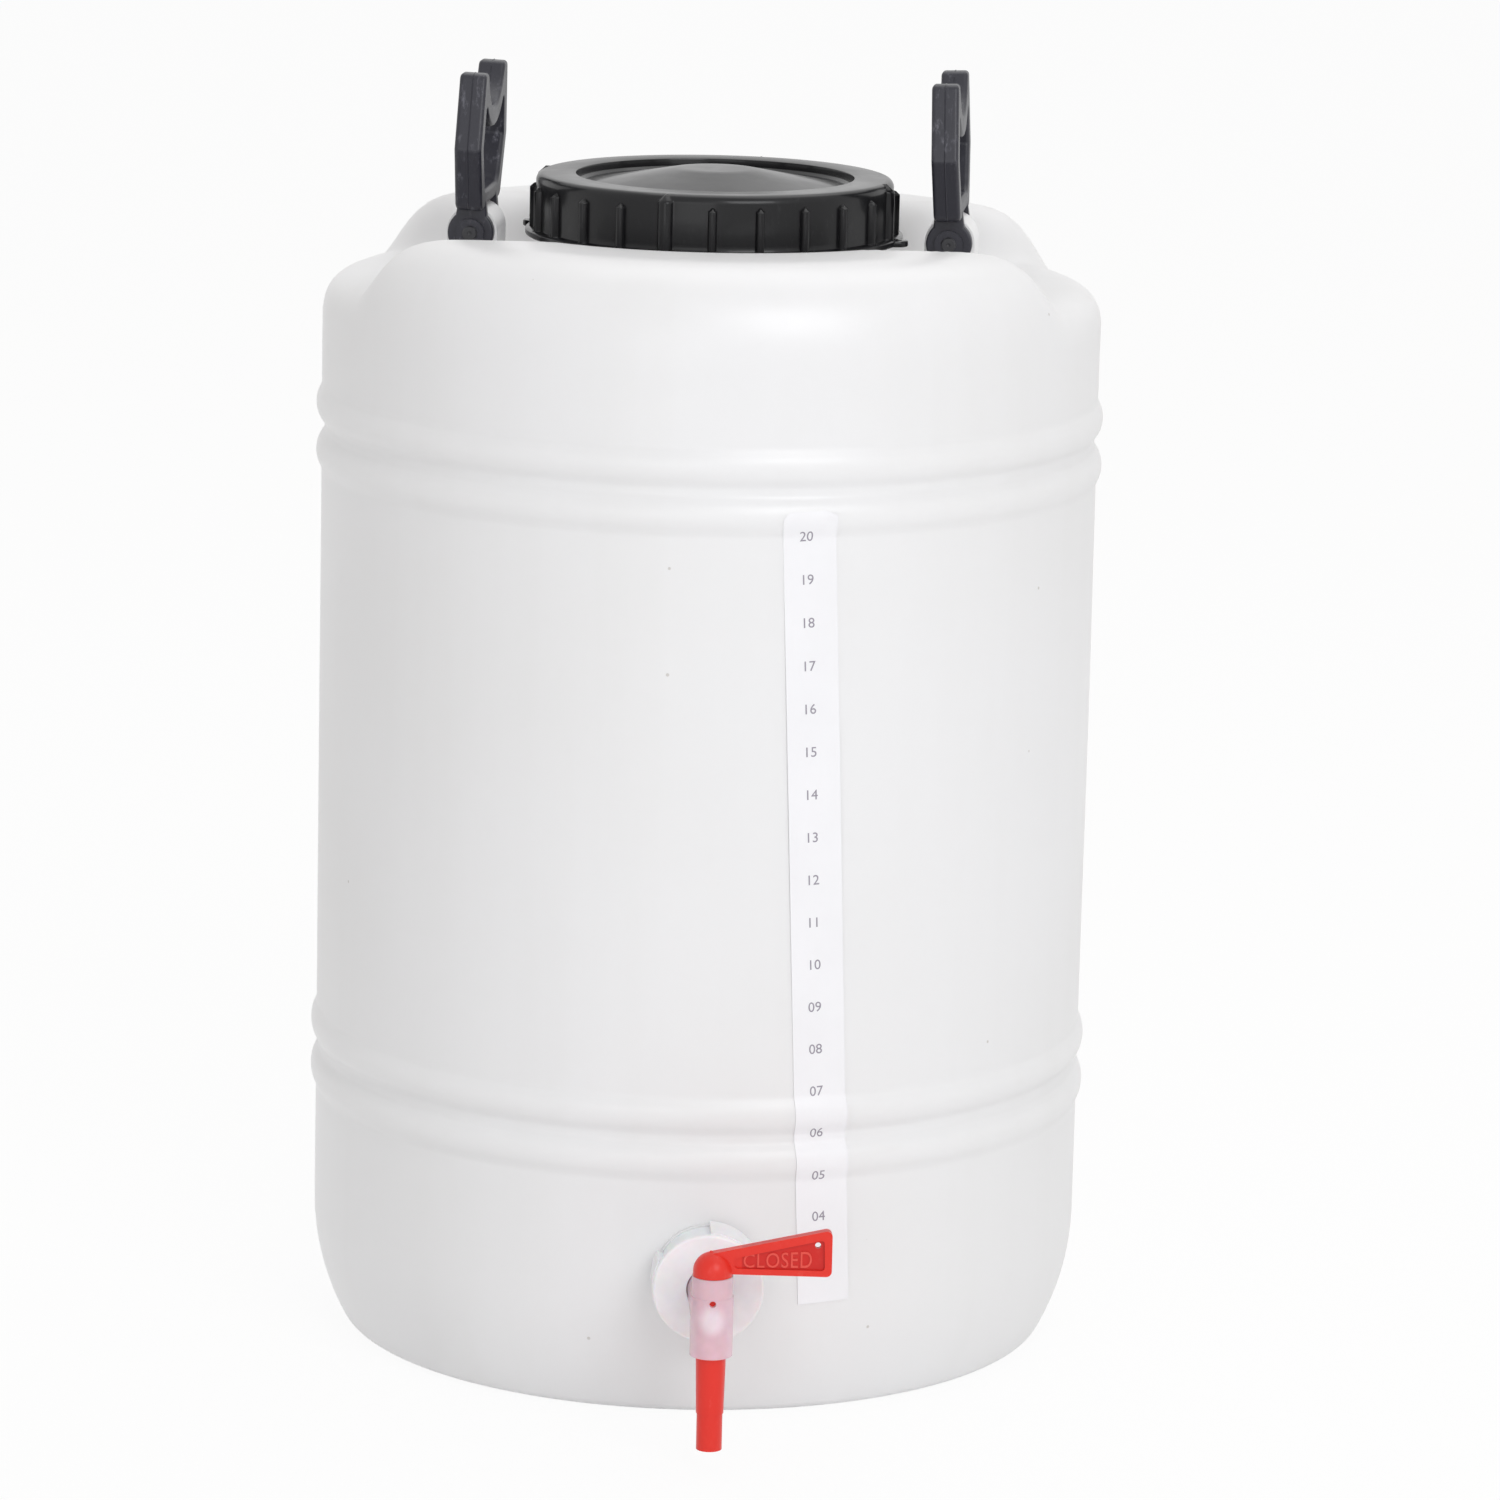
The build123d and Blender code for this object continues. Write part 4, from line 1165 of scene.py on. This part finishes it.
        low = self.tank.neck_top - self.thread_below - self.thread_pitch * self.thread_turns
        sizes = {"turns": self.thread_turns, "pitch": self.thread_pitch}
        threads = []
        for name, look, body, down, form in (
            ("neck_thread", Look.TANK, "tank", 0.0,
             {"radius": self.tank.neck_r, "proud": 1.3, "width": 3.0}),
            ("ring_thread", Look.LID, "screw_ring", self.thread_pitch / 2,
             {"radius": self.ring_in_r, "proud": 1.2, "width": 2.8}),
        ):
            ridge = thread.make(name, finishes.made[look], **sizes, **form)
            place(ridge, Matrix.Translation((0, 0, (low - down) * MM)))
            finishes.dress(ridge, look)
            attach(ridge, body)
            threads.append(ridge)
        return [ring, lid, *threads]


# ---- the handles --------------------------------------------------------------------------


@dataclass
class Handles:
    """The two hand loops, with the mould's parting ridge round each."""

    half_x: float = 88.5
    pin_z: float = 416.2
    skew: float = 4.7
    lean: float = 2.0
    loop_top: float = 476.2
    horn_y: float = 29.0
    kink: tuple[float, float] = (35.5, 448.7)
    foot: tuple[float, float] = (25.0, 425.2)
    cheek_out: float = 17.0
    dip_half: float = 21.0
    dip_depth: float = 14.0
    ridge: float = 0.28

    def outline(self) -> Outline:
        """The loop's outer edge in the (y, z) plane, from one cheek over the top to the other."""
        dip_r = (self.dip_half ** 2 + self.dip_depth ** 2) / (2 * self.dip_depth)
        dip_z = self.loop_top - self.dip_depth + dip_r
        lean = math.degrees(math.atan2(self.loop_top - dip_z, self.dip_half))
        side = rounded([
            (self.cheek_out, self.foot[1], 0), (*self.foot, 5.0), (*self.kink, 2.5),
            (self.horn_y, self.loop_top, 2.5), (self.dip_half + 2.0, self.loop_top, 0),
        ])
        dip = arc((0, dip_z), dip_r, lean - 6.0, -180 - lean + 6.0, 20)
        mirrored = [(-y, z) for y, z in reversed(side)]
        return side + dip + mirrored

    def ridge_tree(self) -> GeometryTree:
        """Geometry Nodes that sweep a small diamond along an outline."""
        tree = GeometryTree("parting_ridge")
        tree.size("Path", "NodeSocketGeometry")
        size = tree.size("Ridge")
        profile = tree.add("GeometryNodeCurvePrimitiveCircle", {"Resolution": 4, "Radius": size})
        swept = tree.add("GeometryNodeCurveToMesh", {
            "Curve": tree.entry.outputs["Path"],
            "Profile Curve": profile.outputs[0],
            "Fill Caps": True,
        })
        tree.close(swept.outputs[0])
        return tree

    def stand(self, x: float) -> Matrix:
        """From the plane X = 0 to the loop's place, leaning in on its skewed pin."""
        lean = math.radians(-math.copysign(self.lean, x))
        skew = Matrix.Translation((x, 0, 0)) @ Matrix.Rotation(math.radians(-self.skew), 4, "Z")
        pin = Matrix.Translation((0, 0, self.pin_z))
        return skew @ pin @ Matrix.Rotation(lean, 4, "Y") @ pin.inverted()

    def path(self, x: float) -> bpy.types.Object:
        """The outline as an open curve standing at x."""
        place_loop = self.stand(x)
        curve = bpy.data.curves.new("path", "CURVE")
        curve.dimensions = "3D"
        points = self.outline()
        line = curve.splines.new("POLY")
        line.points.add(len(points) - 1)
        for spot, (y, z) in zip(line.points, points):
            here = place_loop @ Vector((0, y, z))
            spot.co = (here.x * MM, here.y * MM, here.z * MM, 1.0)
        holder = bpy.data.objects.new("path", curve)
        bpy.context.scene.collection.objects.link(holder)
        return holder

    def build(self, finishes: Finishes, nodes: dict[str, bpy.types.Object]) -> list[bpy.types.Object]:
        """Dresses the loops and pins and adds the parting ridges."""
        tree = self.ridge_tree()
        pieces = []
        for side, name in ((-1, "left"), (1, "right")):
            finishes.redress(nodes[f"handle_{name}"], Look.HANDLE)
            finishes.redress(nodes[f"pin_{name}"], Look.PIN)
            values = {"Ridge": self.ridge * MM, "Material": finishes.made[Look.HANDLE]}
            ridge = tree.run(f"{name}_parting_ridge", self.path(side * self.half_x), values)
            finishes.dress(ridge, Look.HANDLE)
            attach(ridge, f"handle_{name}")
            pieces.append(ridge)
        return pieces


# ---- the tap ------------------------------------------------------------------------------


@dataclass
class Tap:
    """The lever tap: union cap, sleeve and stub, and the red turning key."""

    azimuth: float = 3.2
    axis_z: float = 56.5
    sleeve_y: float = -200.0
    nozzle_r: float = 16.0
    wall_y: float = 145.0
    hole_reach: float = 12.0
    thread_y: float = 149.5
    lever_thick: float = 4.0
    panel_depth: float = 1.0
    words_height: float = 5.5
    words_narrow: float = 0.80
    words_taper: float = 0.009
    words_proud: float = 0.45
    words_spacing: float = 1.08
    words_x: float = 22.8
    words_z: float = 77.6
    dome_top: float = 80.4
    nub_x: float = -0.6
    nub_lean: float = 8.0
    nub_outline: tuple[tuple[float, float], ...] = (
        (0, -0.6), (0.75, -0.6), (0.6, 0.15), (0.42, 0.42), (0, 0.36))

    def turn(self) -> Matrix:
        """From the tap's own frame, along -Y, to its place on the drum."""
        return Matrix.Rotation(math.radians(self.azimuth), 4, "Z")

    def facing(self, spot: Point) -> Matrix:
        """From a flat shape's own plane to a spot in the tap's frame, where it faces along -Y."""
        return Matrix.Translation(Vector(spot) * MM) @ Matrix.Rotation(math.radians(90), 4, "X")

    def wall_hole(self) -> bpy.types.Mesh:
        """The plug that is cut out of the drum's wall for the outlet."""
        reach = self.hole_reach
        section = [(0, -reach), (self.nozzle_r, -reach), (self.nozzle_r, reach), (0, reach)]
        plug = revolved(section, 64)
        plug.transform(self.turn() @ self.facing((0, -self.wall_y, self.axis_z)))
        return plug

    def words(self, text: str, front: bool) -> bpy.types.Mesh:
        """Raised lettering in one of the lever's two panels."""
        mesh = text_mesh(text, self.words_height, 2 * self.words_proud, self.words_spacing)
        foot = -self.words_height / 2
        away = 1 if front else -1
        for vert in mesh.vertices:
            vert.co.x *= self.words_narrow
            vert.co.y = foot + (vert.co.y - foot) * (1 + away * self.words_taper * vert.co.x)
        mesh.transform(Matrix.Scale(MM, 4))
        depth = self.lever_thick / 2 - self.panel_depth
        face = -1 if front else 1
        spot = Vector((self.words_x, self.sleeve_y + face * depth, self.words_z))
        half_turn = Matrix.Rotation(0 if front else math.pi, 4, "Z")
        stand = Matrix.Translation(spot * MM) @ half_turn @ self.facing((0, 0, 0))
        mesh.transform(self.turn() @ stand)
        return mesh

    def gate_nub(self) -> bpy.types.Mesh:
        """The small broken-off gate on top of the dome."""
        nub = revolved(list(self.nub_outline), 12)
        stand = Matrix.Translation((self.nub_x * MM, self.sleeve_y * MM, self.dome_top * MM))
        nub.transform(self.turn() @ stand @ Matrix.Rotation(math.radians(self.nub_lean), 4, "Y"))
        return nub

    def build(
        self, finishes: Finishes, nodes: dict[str, bpy.types.Object], thread: ScrewThread
    ) -> list[bpy.types.Object]:
        """Dresses the tap and adds its words, gate mark and outlet thread."""
        looks = {
            "outlet_nozzle": Look.TANK,
            "nozzle_gasket": Look.GASKET,
            "tap_cap": Look.TAP_WHITE,
            "tap_body": Look.TAP_SLEEVE,
            "tap_key": Look.RED,
        }
        for name, look in looks.items():
            finishes.redress(nodes[name], look)
        closed = new_piece("lever_word_front", self.words("CLOSED", True), None)
        opened = new_piece("lever_word_back", self.words("OPEN", False), None)
        nub = new_piece("key_gate_nub", self.gate_nub(), 50.0)
        for piece, look in ((closed, Look.WORDS), (opened, Look.WORDS), (nub, Look.RED)):
            finishes.dress(piece, look)
            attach(piece, "tap_key")
        outlet = thread.make(
            "outlet_thread", finishes.made[Look.TANK], radius=self.nozzle_r, turns=2.5, pitch=3.5,
            proud=0.55, width=1.5)
        place(outlet, self.turn() @ self.facing((0, -self.thread_y, self.axis_z)))
        finishes.dress(outlet, Look.TANK)
        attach(outlet, "tank")
        return [closed, opened, nub, outlet]


# ---- room, light and camera ---------------------------------------------------------------


def direct_rays(tree: bpy.types.NodeTree) -> bpy.types.NodeSocket:
    """1 for rays that show the background: straight, mirrored or through something clear."""
    path = tree.nodes.new("ShaderNodeLightPath")
    either = path.outputs["Is Camera Ray"]
    for kind in ("Is Glossy Ray", "Is Transmission Ray"):
        larger = tree.nodes.new("ShaderNodeMath")
        larger.operation = "MAXIMUM"
        tree.links.new(either, larger.inputs[0])
        tree.links.new(path.outputs[kind], larger.inputs[1])
        either = larger.outputs[0]
    return either


@dataclass(frozen=True)
class Lamp:
    """One soft square lamp."""

    name: str
    spot_m: Point
    size_m: float
    watts: float
    tint: Colour


@dataclass
class Studio:
    """Pale floor, soft light and the camera."""

    distance_m: float = 2.4338
    height_m: float = 0.72503
    aside_m: float = 0.002738
    yaw_rad: float = 0.0062
    pitch_rad: float = 0.2046
    roll_rad: float = -0.0231
    lens_mm: float = 157.7
    sensor_mm: float = 36.0
    drum_turn_deg: float = 1.0
    middle_m: Point = (0.0, 0.0, 0.22)
    floor_half_m: float = 30.0
    floor_white: float = 0.92
    sky_tint: Colour = (1.0, 0.985, 0.972)
    sky_strength: float = 0.63
    lamps: tuple[Lamp, ...] = (
        Lamp("key", spot_m=(1.0, -2.1, 1.5), size_m=1.3, watts=21.6, tint=(0.975, 0.985, 1.0)),
        Lamp("top", spot_m=(0.2, 0.6, 2.0), size_m=1.4, watts=7.2, tint=(1.0, 1.0, 1.0)),
        Lamp("front", spot_m=(-0.5, -2.6, 0.5), size_m=1.2, watts=5.4, tint=(0.98, 0.985, 1.0)),
    )

    def camera(self) -> None:
        """Sets up the camera."""
        data = bpy.data.cameras.new("camera")
        data.sensor_width = self.sensor_mm
        data.lens = self.lens_mm
        data.clip_end = 100.0
        eye = bpy.data.objects.new("camera", data)
        bpy.context.scene.collection.objects.link(eye)
        look = Vector((
            math.sin(self.yaw_rad) * math.cos(self.pitch_rad),
            math.cos(self.yaw_rad) * math.cos(self.pitch_rad),
            -math.sin(self.pitch_rad),
        ))
        level = Vector((math.cos(self.yaw_rad), -math.sin(self.yaw_rad), 0))
        down = look.cross(level)
        right = level * math.cos(self.roll_rad) + down * math.sin(self.roll_rad)
        under = down * math.cos(self.roll_rad) - level * math.sin(self.roll_rad)
        turned = Matrix((right, -under, -look)).transposed().to_4x4()
        turned.translation = Vector((self.aside_m, -self.distance_m, self.height_m))
        eye.matrix_world = Matrix.Rotation(math.radians(self.drum_turn_deg), 4, "Z") @ turned
        bpy.context.scene.camera = eye

    def hang(self, lamp: Lamp) -> None:
        """Adds a soft square lamp that points at the carboy's middle."""
        data = bpy.data.lights.new(lamp.name, "AREA")
        data.size = lamp.size_m
        data.energy = lamp.watts
        data.color = lamp.tint
        holder = bpy.data.objects.new(lamp.name, data)
        bpy.context.scene.collection.objects.link(holder)
        holder.location = lamp.spot_m
        holder.rotation_mode = "QUATERNION"
        aim = Vector(self.middle_m) - Vector(lamp.spot_m)
        holder.rotation_quaternion = aim.to_track_quat("-Z", "Y")

    def background(self, world: bpy.types.World) -> None:
        """Plain light from all sides; seen directly, mirrored or through something clear, it is white."""
        world.use_nodes = True
        tree = world.node_tree
        tree.nodes.clear()
        output = tree.nodes.new("ShaderNodeOutputWorld")
        light = tree.nodes.new("ShaderNodeBackground")
        light.inputs[0].default_value = (*self.sky_tint, 1.0)
        light.inputs[1].default_value = self.sky_strength
        white = tree.nodes.new("ShaderNodeBackground")
        white.inputs[0].default_value = (1.0, 1.0, 1.0, 1.0)
        white.inputs[1].default_value = 1.0
        choose = tree.nodes.new("ShaderNodeMixShader")
        tree.links.new(direct_rays(tree), choose.inputs[0])
        tree.links.new(light.outputs[0], choose.inputs[1])
        tree.links.new(white.outputs[0], choose.inputs[2])
        tree.links.new(choose.outputs[0], output.inputs[0])

    def floor(self) -> None:
        """A wide pale floor that keeps the carboy's shadow and otherwise looks white."""
        half = self.floor_half_m
        square = np.array([(-half, -half, 0), (half, -half, 0), (half, half, 0), (-half, half, 0)])
        piece = new_piece("floor", mesh_of(square, [(0, 1, 2, 3)], 1.0), None)
        finish = Finish("floor_paint")
        finish.set(Base_Color=(0.90, 0.90, 0.90), Roughness=0.7)
        glow = finish.node("ShaderNodeEmission", values={"Color": (1.0, 1.0, 1.0, 1.0), "Strength": 1.0})
        seen = Term(finish, direct_rays(finish.tree))
        blend = finish.node("ShaderNodeMixShader", values=[seen * self.floor_white])
        finish.tree.links.new(finish.shader.outputs[0], blend.inputs[1])
        finish.tree.links.new(glow.outputs[0], blend.inputs[2])
        finish.tree.links.new(blend.outputs[0], finish.output.inputs["Surface"])
        piece.data.materials.append(finish.material)

    def build(self) -> None:
        """Makes the whole studio."""
        scene = bpy.context.scene
        scene.view_settings.view_transform = "Standard"
        scene.world = scene.world or bpy.data.worlds.new("world")
        self.background(scene.world)
        self.floor()
        for lamp in self.lamps:
            self.hang(lamp)
        self.camera()


# ---- everything ---------------------------------------------------------------------------


def corners(box: tuple[Vector, Vector]) -> list[list[float]]:
    """A box as plain lists of numbers."""
    return [list(box[0]), list(box[1])]


def report(kind: str, pieces: Iterable[bpy.types.Object]) -> None:
    """Logs each piece's size."""
    for piece in pieces:
        LOG.info("%s: %s, %d faces", kind, piece.name, len(piece.data.polygons))


def main() -> None:
    """Builds every class in order."""
    logging.basicConfig(level=logging.INFO, format="%(name)s %(message)s")
    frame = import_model()
    nodes = frame["nodes"]
    finishes = Finishes()
    thread = ScrewThread()
    tank = Tank()
    tap = Tap()
    finishes.redress(nodes["lid_gasket"], Look.GASKET)
    report("drum", tank.build(finishes, tap))
    report("strip", LevelStrip(tank).build(finishes))
    report("closure", Closure(tank).build(finishes, thread))
    report("handles", Handles().build(finishes, nodes))
    report("tap", tap.build(finishes, nodes, thread))
    Studio().build()


if __name__ == "__main__":
    main()
